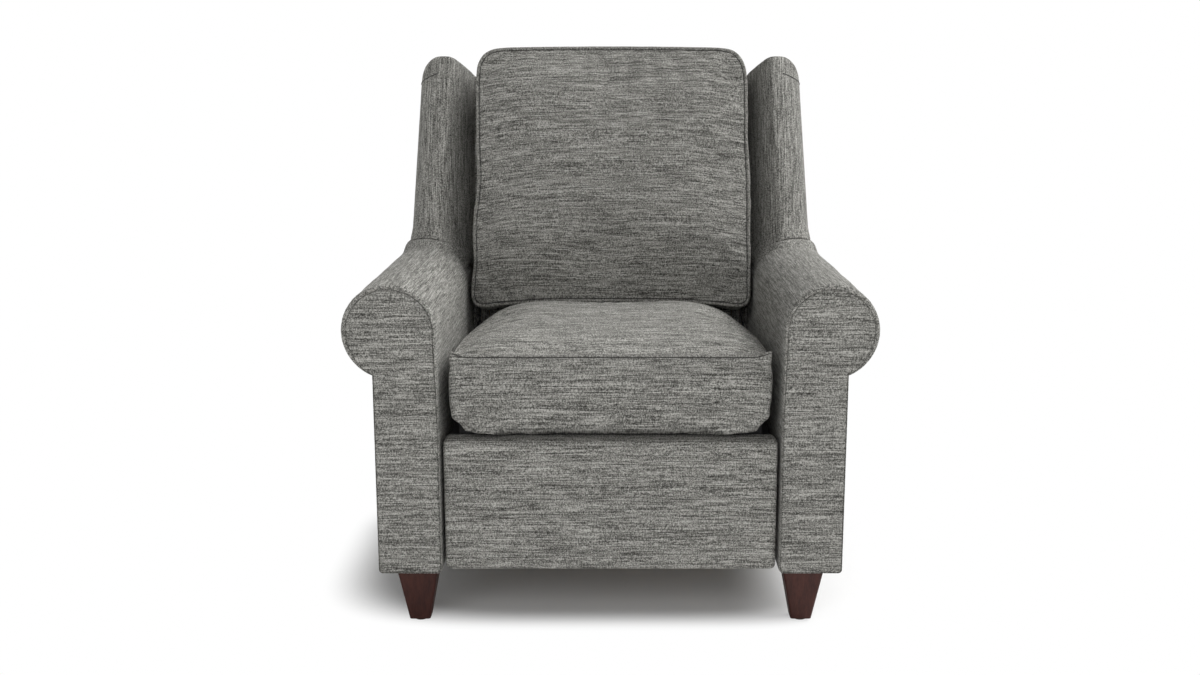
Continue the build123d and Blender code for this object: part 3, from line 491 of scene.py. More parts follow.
def wing_shoulder(t):
    """Place across the chair where a wing's round nose is foremost, at a height up the back."""
    return SHOULDER_LOW - (SHOULDER_LOW - SHOULDER_HIGH) * t / WING_HEIGHT


def wing_front(x, t):
    """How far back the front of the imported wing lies."""
    shoulder = wing_shoulder(t)
    if x < shoulder:
        return WING_SETBACK + WING_SLOPE * (shoulder - x) / (shoulder - WING_INNER)
    return WING_SETBACK + WING_NOSE - sqrt(max(0.0, WING_NOSE ** 2 - (x - shoulder) ** 2))


def wing_draw_in(x, t, past_shoulder=18.0, depth=116.0, curve=1.55):
    """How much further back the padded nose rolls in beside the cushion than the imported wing."""
    start = wing_shoulder(t) + past_shoulder
    if x > start:
        return 0.0
    rolled = WING_SETBACK + depth * min(1.0, (start - x) / (start - WING_INNER)) ** curve
    return max(0.0, rolled - wing_front(x, t))


def wing_foot(x):
    """Where the front of the right wing meets the arm's roll, as y, for a place across the arm."""
    z = ROLL_Z + sqrt(max(0.0, ROLL_R ** 2 - (x - ROLL_X) ** 2))
    t = up_back(z, 25.0)
    return to_world(x, wing_front(x, t) + wing_draw_in(x, t) - WING_FLARE, t)[1]


def under_wing(x, z):
    """Share of the step up to the wing: all of it on top of the roll, none at its sides."""
    if x < ROLL_X:
        return smoothstep(ROLL_Z + 22.0, ROLL_Z + 48.0, z)
    return 1.0 - smoothstep(418.0, 440.0, x)


def wing_lift(x, y, z):
    """How far the arm's cover is drawn up to the wing that stands on it."""
    if z <= ROLL_Z:
        return 0.0
    ramp = max(0.0, 1.0 - max(0.0, wing_foot(x) - y) / WING_RAMP) ** 2
    return WING_STEP * ramp * under_wing(x, z)


def arm_point(side, x, y, z, swell):
    """A point of an arm's cover, moved out from the roll's axis or the side panel."""
    across = x - ROLL_X + (15.0 if z < ROLL_Z else 0.0)
    away = Vector((across, z - ROLL_Z if z > ROLL_Z - 60.0 else 0.0))
    away = away.normalized() if away.length else Vector((0.0, 1.0))
    return (side * (x + swell * away.x), y, z + swell * away.y)


def seam_share(index):
    """How far in the front seam runs at a point of the ring: close to the edge below the roll."""
    place = (index - ROLL_START) / ROLL_POINTS
    if place < 1.0:
        return 0.2 + 0.8 * smoothstep(0.0, 0.2, place) - 0.25 * smoothstep(0.6, 1.0, place)
    return 0.75 - 0.5 * smoothstep(0.0, 0.4, (index - ROLL_START - ROLL_POINTS) / INSIDE_POINTS)


def seam_ring(inward):
    """Ring of the front seam, drawn in by an amount, or out towards the edge by a negative one."""
    points = []
    for index in range(RING_POINTS):
        seam = SEAM_INSET * seam_share(index)
        inset = seam + inward if inward >= 0 else seam * (1.0 + inward / SEAM_INSET)
        points.append(arm_ring(round(inset, 3))[index])
    return points


def gather(x, z, side):
    """Small folds along the top of a roll where its cover is drawn into a seam, from -1 to 1."""
    turn = atan2(z - ROLL_Z, x - ROLL_X)
    return noise.noise(Vector((turn * 19.0, side * 3.0, 0.5))) if z > ROLL_Z - 20.0 else 0.0


def arm_swell(side, x, depth, z):
    """How far an arm's cover stands out, from its stuffing and folds."""
    if z < ARM_BOTTOM + 10.0:
        return 0.0
    place = (side * x, depth, z)
    swell = wobble(place, 110.0, 1.5, 3.7) + wobble(place, 42.0, 0.5, 9.1)
    swell *= smoothstep(10.0, 60.0, depth) * (1.0 - smoothstep(430.0, 490.0, depth))
    lift = wing_lift(x, FRONT + depth, z)
    folds = exp(-depth / 16.0) + 1.5 * (lift / WING_STEP) ** 2
    return swell + (lift + 0.6 * gather(x, z, side) * folds)


def arm_wrap(side):
    """Cover of one arm: it wraps the roll and both sides, and turns in to the front panel's seam."""
    rings = []
    for outward, depth in WRAP_FRONT:
        share = smoothstep(3.0, 8.0, outward)
        rings.append([arm_point(side, x, FRONT + depth, z, 0.4 * gather(x, z, side) * share)
                      for x, z in seam_ring(-outward)])
    depths = [13.0, 17.0, 22.0, 29.0, *np.arange(38.0, 440.0, 14.0), *np.arange(444.0, 606.0, 4.0),
              *np.arange(610.0, ARM_LENGTH - 10.0, 12.0)]
    for depth in depths:
        rings.append([arm_point(side, x, FRONT + depth, z, arm_swell(side, x, depth, z))
                      for x, z in arm_ring(0.0)])
    for edge, inset in WRAP_REAR:
        y = FRONT + ARM_LENGTH - edge + 0.5
        rings.append([arm_point(side, x, y, z, wing_lift(x, y, z)) for x, z in arm_ring(inset)])
    return loft(rings)


def arm_panel(side):
    """Sewn front panel of one arm, slightly domed inside its seam."""
    return loft([[(side * x, FRONT + depth, z) for x, z in seam_ring(inward)]
                 for inward, depth in PANEL_FRONT])


def cut_pocket(piece, outline, x0, x1):
    """Cuts a pocket with an outline in (y, z) from x0 to x1 into a piece."""
    cutter = finish_mesh("cutter", loft([[(x, y, z) for y, z in outline] for x in (x0, x1)]), fabric_x)
    modify(piece, "BOOLEAN", operation="DIFFERENCE", solver="EXACT", object=cutter)
    bake(piece)
    bpy.data.objects.remove(cutter)


def panel_outline(gap, corner=20.0):
    """Rounded outline of the control panel in (y, z), grown by a gap."""
    low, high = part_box("control_panel")
    return rounded_loop((low.y / MM - gap, low.z / MM - gap), (high.y / MM + gap, high.z / MM + gap),
                        corner + gap, 0, 0, 10)


for side, label in SIDES:
    wrap = finish_mesh(f"arm_cover_{label}", arm_wrap(side), fabric_y)
    if side < 0:
        cut_pocket(wrap, panel_outline(0.8), -ARM_OUTER - 12.0, -ARM_OUTER + 11.6)
    dress(wrap, "base", "upholstery", f"arm_{label}", fill=0.9)
    dress(finish_mesh(f"arm_front_panel_{label}", arm_panel(side), fabric_x), "base", "upholstery", fill=0.9)


# Remeshed soft forms
def apply_remesh(piece, voxel, smoothing):
    """Turns a piece into even quads, softened by rounds of smoothing."""
    modify(piece, "REMESH", mode="VOXEL", voxel_size=voxel * MM, use_smooth_shade=True)
    if smoothing:
        modify(piece, "SMOOTH", factor=0.5, iterations=smoothing)
    bake(piece)


def remeshed_copy(name, source, voxel, smoothing, material, weight=None):
    """A copy of a CAD node's mesh as even quads, with its edges softened where weight lets it."""
    mesh = source.data.copy()
    made = link(name, mesh)
    wear(mesh, material)
    apply_remesh(made, voxel, 0 if weight else smoothing)
    if weight:
        group = made.vertex_groups.new(name="soft")
        for index, point in enumerate(coords_of(made) / MM):
            group.add([index], weight(point), "REPLACE")
        modify(made, "SMOOTH", factor=0.5, iterations=smoothing, vertex_group="soft")
        bake(made)
    return made


def roll_distance(point):
    """Distance of a point from the axis of the nearer arm's roll."""
    return sqrt((abs(point[0]) - ROLL_X) ** 2 + (point[2] - ROLL_Z) ** 2)


def wing_weight(point):
    """How much smoothing a wing takes: none at its foot over the roll."""
    return smoothstep(ROLL_R + WING_GAP + 3.0, ROLL_R + WING_GAP + 25.0, roll_distance(point))


def settle_wing(wing):
    """Rolls a wing's nose in, sets its foot on the drawn up arm cover and draws its top up to a point."""
    points = coords_of(wing) / MM
    for point in points:
        x = abs(point[0])
        w, t = from_world(point[1], point[2])
        clear = roll_distance(point) - ROLL_R - WING_GAP
        shift = wing_draw_in(x, t) * min(1.0, max(0.0, (135.0 - w) / 88.0))
        shift -= WING_FLARE * max(0.0, 1.0 - max(0.0, clear) / 42.0) ** 2 * (1.0 - smoothstep(60.0, 130.0, w))
        push(point, shift, 0.0)
        goal = ROLL_R + WING_STEP * under_wing(x, point[2]) - 1.2
        share = min(1.0, max(0.0, 1.0 - clear / 30.0))
        moved = 1.0 + (goal - ROLL_R - WING_GAP) * share / roll_distance(point)
        point[0] = (ROLL_X + (x - ROLL_X) * moved) * (1 if point[0] > 0 else -1)
        point[2] = ROLL_Z + (point[2] - ROLL_Z) * moved
        push(point, 0.0, 4.5 * smoothstep(420.0, 500.0, t) * smoothstep(268.0, 325.0, x))
    set_coords(wing, points * MM)


wings = {}
for side, label in SIDES:
    wing = remeshed_copy(f"wing_cover_{label}", nodes[f"wing_{label}"], 4.0, 20, fabric_up, wing_weight)
    settle_wing(wing)
    wings[label] = dress(wing, "back", "upholstery", f"wing_{label}", fill=0.85)
REAR_COVERS = [("outside_back_cover", "outside_back", 6.0, 6, "back", 0.8),
               ("lower_back_cover", "lower_back_panel", 5.0, 5, "back", 0.6),
               ("rear_rail_cover", "rear_base_rail", 4.0, 3, "base", 0.4)]
for name, source, voxel, rounds, body, fill in REAR_COVERS:
    cover = remeshed_copy(name, nodes[source], voxel, rounds, fabric_rear)
    dress(cover, body, "upholstery", source, fill=fill)


# Footrest
# Loops of its cover from the rear over the edge to the front's middle: inset and way forward
FOOTREST_LOOPS = [(40.0, 0.0), (6.0, 0.0), (2.0, 1.0), (0.4, 4.0), (0.0, 9.0), (0.0, 40.0), (0.6, 44.0),
                  (2.2, 47.2), (4.8, 49.2), (8.5, 50.2), (16.0, 50.9), (34.0, 51.6), (70.0, 52.4),
                  (105.0, 52.8)]


def footrest_cover(corner=9.0):
    low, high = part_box("footrest_pad")
    half, under, top = high.x / MM, low.z / MM, high.z / MM
    rings = []
    for inset, forward in FOOTREST_LOOPS:
        y = high.y / MM - forward
        loop = rounded_loop((-(half - inset), under + inset), (half - inset, top - inset),
                            max(1.5, corner - inset * 0.6), 60, 26, 6)
        rings.append([(x, y - wobble((x, y, z), 130.0, 1.0, 5.2) * min(1.0, inset / 10.0), z)
                      for x, z in loop])
    return loft(rings)


dress(finish_mesh("footrest_cover", footrest_cover(), fabric_x), "footrest", "upholstery", "footrest_pad",
      fill=0.8)


# Seat cushion
SEAT_HALF = 274.0
SEAT_CENTRE = -140.0
# Heights of the seat's top from front to rear, as (y, z), along its side seams and its middle
SEAT_SIDE = [(-406, 488), (-370, 483), (-200, 475), (-74, 463), (20, 454), (126, 443)]
SEAT_MIDDLE = [(-406, 488), (-392, 492), (-370, 497), (-330, 502), (-250, 506), (-100, 508), (0, 506),
               (60, 498), (100, 485), (126, 470)]
# How far its boxed sides bulge, as shares of the height and of the whole bulge
SEAT_BULGE = [(0.015, -0.33), (0.09, 0.40), (0.22, 0.80), (0.44, 1.0), (0.66, 0.92), (0.82, 0.66),
              (0.92, 0.38), (1.0, 0.0)]


def seat_half(y):
    return SEAT_HALF - 4.0 * smoothstep(SEAT_FRONT + 60.0, SEAT_REAR, y)


def seat_loop(r=5.0):
    """Plan of the boxed seat cushion, with corners of radius r, as (x, y, outward x, outward y)."""
    front, rear = SEAT_FRONT, SEAT_REAR
    half, wide = seat_half(front), seat_half(rear)

    def corner(x, y, start):
        return [(a, b, (a - x) / r, (b - y) / r) for a, b in arc((x, y), r, start, start + 90, 5)]

    sides = spread((0.0, front + r), (0.0, rear - r), 80)
    points = [(x, y, 0.0, -1.0) for x, y in spread((-half + r, front), (half - r, front), 90)]
    points += corner(half - r, front + r, -90)
    points += [(seat_half(y), y, 1.0, 0.0) for _, y in sides]
    points += corner(wide - r, rear - r, 0)
    points += [(x, y, 0.0, 1.0) for x, y in spread((wide - r, rear), (-wide + r, rear), 90)]
    points += corner(-wide + r, rear - r, 90)
    points += [(-seat_half(y), y, -1.0, 0.0) for _, y in [(0.0, rear - r)] + sides[:0:-1]]
    points += corner(-half + r, front + r, 180)
    return points


def seat_top(x, y):
    """Height of the seat's top, crowned between its side seams."""
    u = min(1.0, abs(x) / seat_half(y))
    side, middle = along(SEAT_SIDE, y), along(SEAT_MIDDLE, y)
    return lerp(side, middle, 1.0 - u ** 5.5)


def seat_bottom(y):
    """Height of the seat's underside: on the deck, and lower where it hangs over in front of it."""
    return 356.0 - 9.0 * (1.0 - smoothstep(-374.0, -353.0, y))


def seat_under(x, y):
    """Height of the seat's lower edge: it rises towards the front corners."""
    corner = max(0.0, (min(abs(x), SEAT_HALF) - 205.0) / (SEAT_HALF - 205.0)) ** 2.1
    return seat_bottom(y) + 30.0 * corner * (1.0 - smoothstep(SEAT_FRONT, SEAT_FRONT + 130.0, y))


def drawn_corner(x, y, z, upper_z=488.0, lower_z=377.0):
    """A point of the seat, pulled out where the front corners of its seams stand up as ears."""
    side = 1.0 if x > 0 else -1.0
    across = abs(x) - SEAT_HALF
    upper = sqrt(across ** 2 + (y - SEAT_FRONT) ** 2 + (z - upper_z) ** 2)
    lower = sqrt(across ** 2 + (y - SEAT_FRONT + 4.0) ** 2 + (z - lower_z) ** 2)
    pull = max(0.0, 1.0 - upper / 28.0) ** 1.6
    low_pull = max(0.0, 1.0 - lower / 26.0) ** 1.6
    return (x + side * (5.0 * pull + 4.0 * low_pull), y - 2.0 * pull, z + 11.0 * pull - 1.0 * low_pull)


def seat_plane(share, height):
    """A ring of the seat's plan drawn in to a share, with heights from a function of (x, y)."""
    ring = []
    for x, y, _, _ in seat_loop():
        place = (x * share, lerp(SEAT_CENTRE, y, share))
        ring.append((*place, height(*place)))
    return ring


def seat_shape():
    rings = [seat_plane(share, lambda x, y: seat_bottom(y))
             for share in (0.05, 0.2, 0.4, 0.6, 0.75, 0.86, 0.925)]
    for share, bulge in SEAT_BULGE:
        ring = []
        for x, y, nx, ny in seat_loop():
            front = 12.0 * max(0.0, -ny) * (1.0 - 0.6 * (abs(x) / SEAT_HALF) ** 8)
            out = bulge * (front + 1.5 * abs(nx) + 2.0 * max(0.0, ny))
            ring.append((x + nx * out, y + ny * out, lerp(seat_under(x, y), seat_top(x, y), share)))
        rings.append(ring)
    rings += [seat_plane(share, seat_top)
              for share in (0.985, 0.96, 0.92, 0.86, 0.78, 0.68, 0.55, 0.4, 0.22, 0.06)]
    return loft(rings)


seat = finish_mesh("seat_cushion_cover", seat_shape(), fabric_x)
apply_remesh(seat, 5.0, 1)
top_seam = [(x, y, seat_top(x, y)) for x, y, _, _ in seat_loop()]
under_seam = [(x, y, seat_under(x, y)) for x, y, _, _ in seat_loop()]


# Back cushion
# Half its width up the back on each side, as (t, x): uneven, as on a filled cushion
BACK_LEFT = [(-15, 288.0), (11, 288.1), (42, 286.4), (79, 280.8), (117, 282.7), (170, 282.9), (212, 277.3),
             (254, 273.7), (311, 277.4), (375, 277.8), (437, 279.2), (491, 276.3), (523, 272.0)]
BACK_RIGHT = [(-15, 290.0), (11, 290.0), (60, 287.7), (101, 288.2), (155, 287.2), (194, 289.0), (247, 287.4),
              (293, 285.7), (338, 284.0), (396, 284.2), (456, 283.6), (502, 275.1), (523, 268.0)]
BACK_HIGH = 519.0
BACK_LOW = -13.0
BACK_MIDDLE = 256.0
BACK_REAR_W = 126.0
REAR_WELT_W = BACK_REAR_W - 6.0
WELT_RADIUS = 3.3


def back_edge(table, mirrored):
    """One side of the back cushion's outline from the lower to the upper corner, as (x, t)."""
    r_low, r_high = 22.0, 45.0
    start, end = BACK_LOW + r_low, BACK_HIGH - r_high

    def corner(t, r, first, last, count):
        half = along(table, t) - WELT_RADIUS
        turns = [radians(angle) for angle in np.linspace(first, last, count)]
        return [(half - r + r * cos(turn), t + r * sin(turn)) for turn in turns]

    points = corner(start, r_low, -90, 0, 9)
    points += [(along(table, t) - WELT_RADIUS, t) for t in np.linspace(start, end, 80)[1:-1]]
    points += corner(end, r_high, 0, 90, 13)
    return [(-x, t) for x, t in reversed(points)] if mirrored else points


def back_loop():
    """Welted outline of the back cushion in (x, t), arched at its top and drawn up at its bottom."""
    right = back_edge(BACK_RIGHT, False)
    left = back_edge(BACK_LEFT, True)
    top = []
    for share in np.linspace(0, 1, 60)[1:-1]:
        rise = 3.5 * (1.0 - (2.0 * share - 1.0) ** 2)
        top.append((lerp(right[-1][0], left[0][0], share), BACK_HIGH + rise))
    bottom = []
    for share in np.linspace(0, 1, 64)[1:-1]:
        rise = 12.5 * (1.0 - abs(2.0 * share - 1.0) ** 4)
        bottom.append((lerp(left[-1][0], right[0][0], share), BACK_LOW + rise))
    return even(right + top + left + bottom, 3)


def welt_depth(t):
    """How far back the front welt lies: further at the bottom, where the cushion turns under."""
    return 10.0 + 13.0 * (1.0 - smoothstep(-10.0, 110.0, t))


def from_middle(t, share):
    """A height drawn in to a share of its way from the cushion's middle."""
    return lerp(BACK_MIDDLE, t, share)


def back_shape():
    outline = back_loop()
    rings = []
    for share in (0.05, 0.25, 0.5, 0.7, 0.86, 0.95):
        rear = BACK_REAR_W + 5.0 * (1 - share ** 4)
        rings.append([to_world(x * share, rear, from_middle(t, share)) for x, t in outline])
    for share in (0.0, 0.25, 0.5, 0.75, 1.0):
        swell = 1.0 + 0.008 * sin(pi * share)
        rings.append([to_world(x * swell, lerp(REAR_WELT_W, welt_depth(t), share), from_middle(t, swell))
                      for x, t in outline])
    for share in (0.98, 0.95, 0.9, 0.83, 0.74, 0.62, 0.46, 0.28, 0.1):
        ring = []
        for x, t in outline:
            height = from_middle(t, share)
            crown = 25.0 * (1.0 - share ** 2.6) * (1.0 + 0.5 * (0.45 - height / 520.0))
            edge = lerp(10.0, welt_depth(t), share ** 3)
            ring.append(to_world(x * share, edge - crown, height))
        rings.append(ring)
    return loft(rings)


def pucker(piece):
    """Presses the short creases into the back cushion's front that its side welts draw up."""
    points = coords_of(piece) / MM
    for point in points:
        w, t = from_world(point[1], point[2])
        if w > 45.0:
            continue
        table, seed = (BACK_RIGHT, 2.0) if point[0] > 0 else (BACK_LEFT, 7.0)
        inward = max(0.0, along(table, t) - WELT_RADIUS - abs(point[0]))
        fade = exp(-inward / 42.0) * (1.0 - exp(-inward / 5.0)) * (1.0 - smoothstep(8.0, 45.0, w))
        crease = noise.noise(Vector((seed, (t + 0.25 * inward) / 21.0, inward / 160.0)))
        push(point, 3.4 * fade * crease, 0.0)
    set_coords(piece, points * MM)


back = finish_mesh("back_cushion_cover", back_shape(), fabric_x)
apply_remesh(back, 6.0, 2)
front_welt = [to_world(x, welt_depth(t), t) for x, t in back_loop()]
rear_welt = [to_world(x, REAR_WELT_W, t) for x, t in back_loop()]


# Cloth simulation of both cushions
CLOTH = {"quality": 6, "mass": 0.3, "tension_stiffness": 18.0, "compression_stiffness": 18.0,
         "shear_stiffness": 10.8, "bending_stiffness": 2.0, "use_pressure": True,
         "vertex_group_mass": "seam"}


def add_cloth(piece, seams, pressure, shrink, reach=5.0):
    """Cloth under pressure from inside, held still within reach of its seams."""
    tree = KDTree(len(seams))
    for index, point in enumerate(seams):
        tree.insert(point, index)
    tree.balance()
    group = piece.vertex_groups.new(name="seam")
    for index, point in enumerate(coords_of(piece) / MM):
        if tree.find(point)[2] < reach:
            group.add([index], 1.0, "REPLACE")
    cloth = modify(piece, "CLOTH")
    for key, value in CLOTH.items():
        setattr(cloth.settings, key, value)
    cloth.settings.uniform_pressure_force = pressure
    cloth.settings.shrink_min = shrink
    cloth.settings.effector_weights.gravity = 0.0
    cloth.collision_settings.use_collision = False
    cloth.collision_settings.use_self_collision = False


def run_cloth(pieces, caps, frames=20):
    """Steps the cloth of the pieces, and keeps each point within its cap of its start."""
    starts = [coords_of(piece) for piece in pieces]
    scene.frame_start = 1
    scene.frame_end = frames
    for count in range(1, frames + 1):
        scene.frame_set(count)
    graph = bpy.context.evaluated_depsgraph_get()
    results = [coords_of(piece.evaluated_get(graph)) for piece in pieces]
    for piece, start, result, cap in zip(pieces, starts, results, caps):
        piece.modifiers.clear()
        shift = result - start
        length = np.linalg.norm(shift, axis=1, keepdims=True)
        shift *= np.minimum(1.0, cap * MM / np.maximum(length, 1e-9))
        set_coords(piece, start + shift)
    scene.frame_set(1)


add_cloth(seat, top_seam + under_seam, 4.0, -0.015)
add_cloth(back, front_welt + rear_welt, 4.0, -0.02)
run_cloth([seat, back], [6.0, 15.0])
pucker(back)
for cushion in (seat, back):
    modify(cushion, "SUBSURF", levels=1, render_levels=1)
    bake(cushion)
set_coords(seat, np.array([drawn_corner(*point) for point in coords_of(seat) / MM]) * MM)
dress(seat, "base", "upholstery", "seat_cushion", fill=0.75)
dress(back, "back", "upholstery", "back_cushion", fill=0.7)


# Welts and seams, and dark tubes of painted shade in seam grooves
def tube(points, radius, sides, closed, weld=1e-4):
    """A bmesh tube along a line of points in millimetres."""
    line = [Vector(point) for point in points]
    count = len(line)
    rings = []
    normal = None
    for index, point in enumerate(line):
        before = line[index - 1] if closed or index else point
        after = line[(index + 1) % count] if closed or index + 1 < count else point
        forward = (after - before).normalized()
        if normal is None:
            normal = forward.orthogonal().normalized()
        normal = (normal - forward * normal.dot(forward)).normalized()
        other = forward.cross(normal)
        turns = [2 * pi * step / sides for step in range(sides)]
        rings.append([point + radius * (normal * cos(turn) + other * sin(turn)) for turn in turns])
    if closed:
        shift = min(range(sides), key=lambda step: (rings[0][step] - rings[-1][0]).length)
        rings.append(rings[0][shift:] + rings[0][:shift])
    bm = loft(rings, caps=not closed)
    if closed:
        bmesh.ops.remove_doubles(bm, verts=bm.verts, dist=weld)
    return bm


def laid_on(piece, points, lift):
    """Points moved to the nearest place on a piece's surface and lifted off it."""
    bm = bmesh.new()
    bm.from_mesh(piece.data)
    tree = BVHTree.FromBMesh(bm)
    bm.free()
    result = []
    for point in points:
        place, normal, _, _ = tree.find_nearest(Vector(point) * MM)
        result.append(tuple(place / MM + normal * lift))
    return result


def inside(points, amount):
    """A closed line in (x, t) drawn in towards its own middle by an amount."""
    line = np.array(points)
    step = np.roll(line, -1, axis=0) - np.roll(line, 1, axis=0)
    step /= np.linalg.norm(step, axis=1, keepdims=True)
    return line + amount * np.stack([-step[:, 1], step[:, 0]], axis=1)


def lay_cord(name, body, piece, line, lift, rounds, radius, sides, material, closed=True):
    """A welt, seam lip or dark tube of painted seam shade along a line on a piece, evened by rounds of
    smoothing.
    """
    laid = even(laid_on(piece, line, lift), rounds)
    dress(finish_mesh(name, tube(laid, radius, sides, closed), material), body, "upholstery")


def wing_seam_shade(side):
    """Line of the seam around the nose and along the outside of a wing, near its top, where a dark tube is
    laid as painted shade in its crease.
    """
    height = WING_HEIGHT + 3.0
    line = []
    for angle in np.linspace(-62.0, 0.0, 16):
        turn = radians(angle)
        line.append((SHOULDER_HIGH + WING_NOSE * cos(turn), WING_SETBACK + WING_NOSE + WING_NOSE * sin(turn),
                     height + 9.0 * (angle / 62.0) ** 2))
    line += [(SHOULDER_HIGH + WING_NOSE, w, height) for w in np.linspace(103.0, 197.0, 14)]
    return [to_world(side * x, w, t) for x, w, t in line]


lay_cord("back_cushion_welt", "back", back, front_welt, 1.0, 2, WELT_RADIUS, 10, fabric_bias)
# Painted shade: a thin dark tube in the groove just inside the front welt, standing for the shade in that
# groove.
groove = [to_world(x, welt_depth(t) - 4.0, t) for x, t in inside(back_loop(), 4.4)]
lay_cord("back_cushion_groove_shade", "back", back, groove, 0.1, 2, 0.9, 6, painted_seam_shade)
lip = [drawn_corner(*point) for point in top_seam]
lay_cord("seat_cushion_seam", "base", seat, lip, 0.4, 1, 2.1, 8, fabric_bias)
# Painted shade: a thin dark tube just below the seam's lip, standing for the shade in the groove under it.
seat_groove_shade_line = [drawn_corner(x + 1.2 * nx, y + 1.2 * ny, seat_top(x, y) - 3.4) for x, y, nx, ny in seat_loop()]
lay_cord("seat_cushion_groove_shade", "base", seat, seat_groove_shade_line, 0.1, 2, 0.8, 6, painted_seam_shade)
# Painted shade: dark tubes along the wings' seam lines, standing for the shade in their creases.
for side, label in SIDES:
    lay_cord(f"wing_seam_shade_{label}", "back", wings[label], wing_seam_shade(side), 0.25, 0, 0.9, 6, painted_seam_shade, False)


# Deck, webbing and what else is cloth below and behind the cushions
def deck_cover():
    """Felt over the springs that turns down over the front rail."""
    low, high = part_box("seat_deck")
    front, rear, top, under = low.y / MM, high.y / MM, high.z / MM, low.z / MM
    half = high.x / MM
    bend = 6.5
    outer, inner = front - 2.5, front - 0.5
    profile = spread((rear, under), (rear, top), 2)
    profile += spread((rear, top), (front + 4.0, top), 40)
    profile += [(front + 4.0 - bend * sin(a), top - bend + bend * cos(a)) for a in np.linspace(0, pi / 2, 7)]
    profile += spread((outer, top - 8.0), (outer, top - 31.0), 6)
    profile += [(outer, top - 31.0), (inner, top - 31.0)]
    profile += spread((inner, top - 30.0), (inner, under), 6)
    profile += spread((inner, under), (rear, under), 40)
    rings = []
    for x in np.linspace(-half, half, 50):
        rings.append([(x, y, z + (wobble((x, y, z), 60.0, 0.8, 4.4) if z > top - 3.0 else 0.0))
                      for y, z in profile])
    return loft(rings)


def webbing_bands():
    """Elastic bands across the back frame, slightly slack and with rounded selvedges."""
    corners = [vert.co / MM for vert in nodes["back_webbing"].data.vertices]
    half = max(corner.x for corner in corners)
    places = [from_world(corner.y, corner.z) for corner in corners]
    heights = sorted({round(t, 1) for _, t in places})
    front, rear = min(w for w, _ in places), max(w for w, _ in places)
    bm = bmesh.new()
    for low, high in zip(heights[::2], heights[1::2]):
        edge = [(0.4, low), (0.0, low + 1.5), *[(0.0, t) for t in np.linspace(low + 4, high - 4, 6)],
                (0.0, high - 1.5), (0.4, high)]
        section = [(front + w, t) for w, t in edge] + [(rear - w, t) for w, t in reversed(edge)]
        rings = []
        for x in np.linspace(-half, half, 60):
            slack = 1.6 * (1.0 - (x / half) ** 2)
            rings.append([to_world(x, w + slack, t) for w, t in section])
        loft(rings, bm)
    return bm


# Sections of the two thin strips: of the apron as (y, z), of a post's cover as (x, w)
APRON_SECTION = [(-350.6, 319.0), (-349.8, 318.2), (-349.0, 319.0), (-348.6, 332.0), (-348.6, 344.0),
                 (-349.0, 354.4), (-349.8, 355.2), (-350.6, 354.4), (-350.6, 344.0), (-350.6, 332.0)]
POST_SECTION = [(259.5, 133.2), (262.0, 132.4), (273.0, 132.4), (275.0, 133.2), (275.0, 134.0),
                (273.0, 134.5), (262.0, 134.5), (259.5, 134.0)]


def front_apron(half=268.0):
    """Felt strip that closes the front of the seat frame above the footrest."""
    return loft([[(x, y + wobble((x, 0.0, z), 50.0, 0.5, 6.1), z) for y, z in APRON_SECTION]
                 for x in np.linspace(-half, half, 40)])


def post_cover(side):
    """Strip of cover over the front of a back post, beside the lower panel."""
    return loft([[to_world(side * x, w + wobble((x, 0.0, t), 30.0, 0.3, 8.3), t) for x, w in POST_SECTION]
                 for t in np.linspace(-58.0, 40.0, 24)])


def rear_lining(side, root_x=296.0, middle_y=219.0, thick=12.5, wide=10.5):
    """Padded strip on the inside of an arm that closes the slit beside the back."""
    rings = []
    for z in [300.0, 301.5, *np.linspace(306.0, 455.0, 30), 459.0, 460.5]:
        draw = 1.0 if 304.0 < z < 457.0 else 0.8
        ring = []
        for angle in np.linspace(0, 2 * pi, 24, endpoint=False):
            x = root_x - thick * draw * max(0.0, sin(angle)) ** 0.8 + 0.8 * max(0.0, -sin(angle))
            y = middle_y + wide * draw * cos(angle)
            ring.append((side * (x + wobble((0.0, y, z), 40.0, 0.4, 2.9)), y, z))
        rings.append(ring)
    return loft(rings)


def back_side(side, inner=283.0, outer=417.0, bottom=446.0, front=238.5, rear_w=199.0):
    """Padded side of the back behind an arm, from below the wing down to the bracket's pivot."""
    middle = np.linspace(inner + 9.0, outer - 9.0, 26)
    rings = []
    for x in [inner, inner + 1.0, inner + 4.0, *middle, outer - 4.0, outer - 1.0, outer]:
        inset = 5.0 * smoothstep(outer - 10.0, outer, x) ** 2
        inset += 4.0 * (1.0 - smoothstep(inner, inner + 8.0, x)) ** 2
        roll = ROLL_Z + sqrt(max(0.0, (ROLL_R + WING_GAP - 2.0) ** 2 - (x - ROLL_X) ** 2))
        low = bottom + inset
        high = max(roll, ROLL_Z + ROLL_R / 2.0) - 1.0 - inset
        points = [(front + 0.5 * inset, z) for z in np.linspace(low, high, 14)]
        for z in np.linspace(high, low, 14):
            rear = to_world(x, rear_w, up_back(z, rear_w))[1]
            points.append((rear - 0.5 * inset, z))
        rings.append([(side * x, y + wobble((x, y, z), 60.0, 0.5, 1.9), z) for y, z in points])
    return loft(rings)


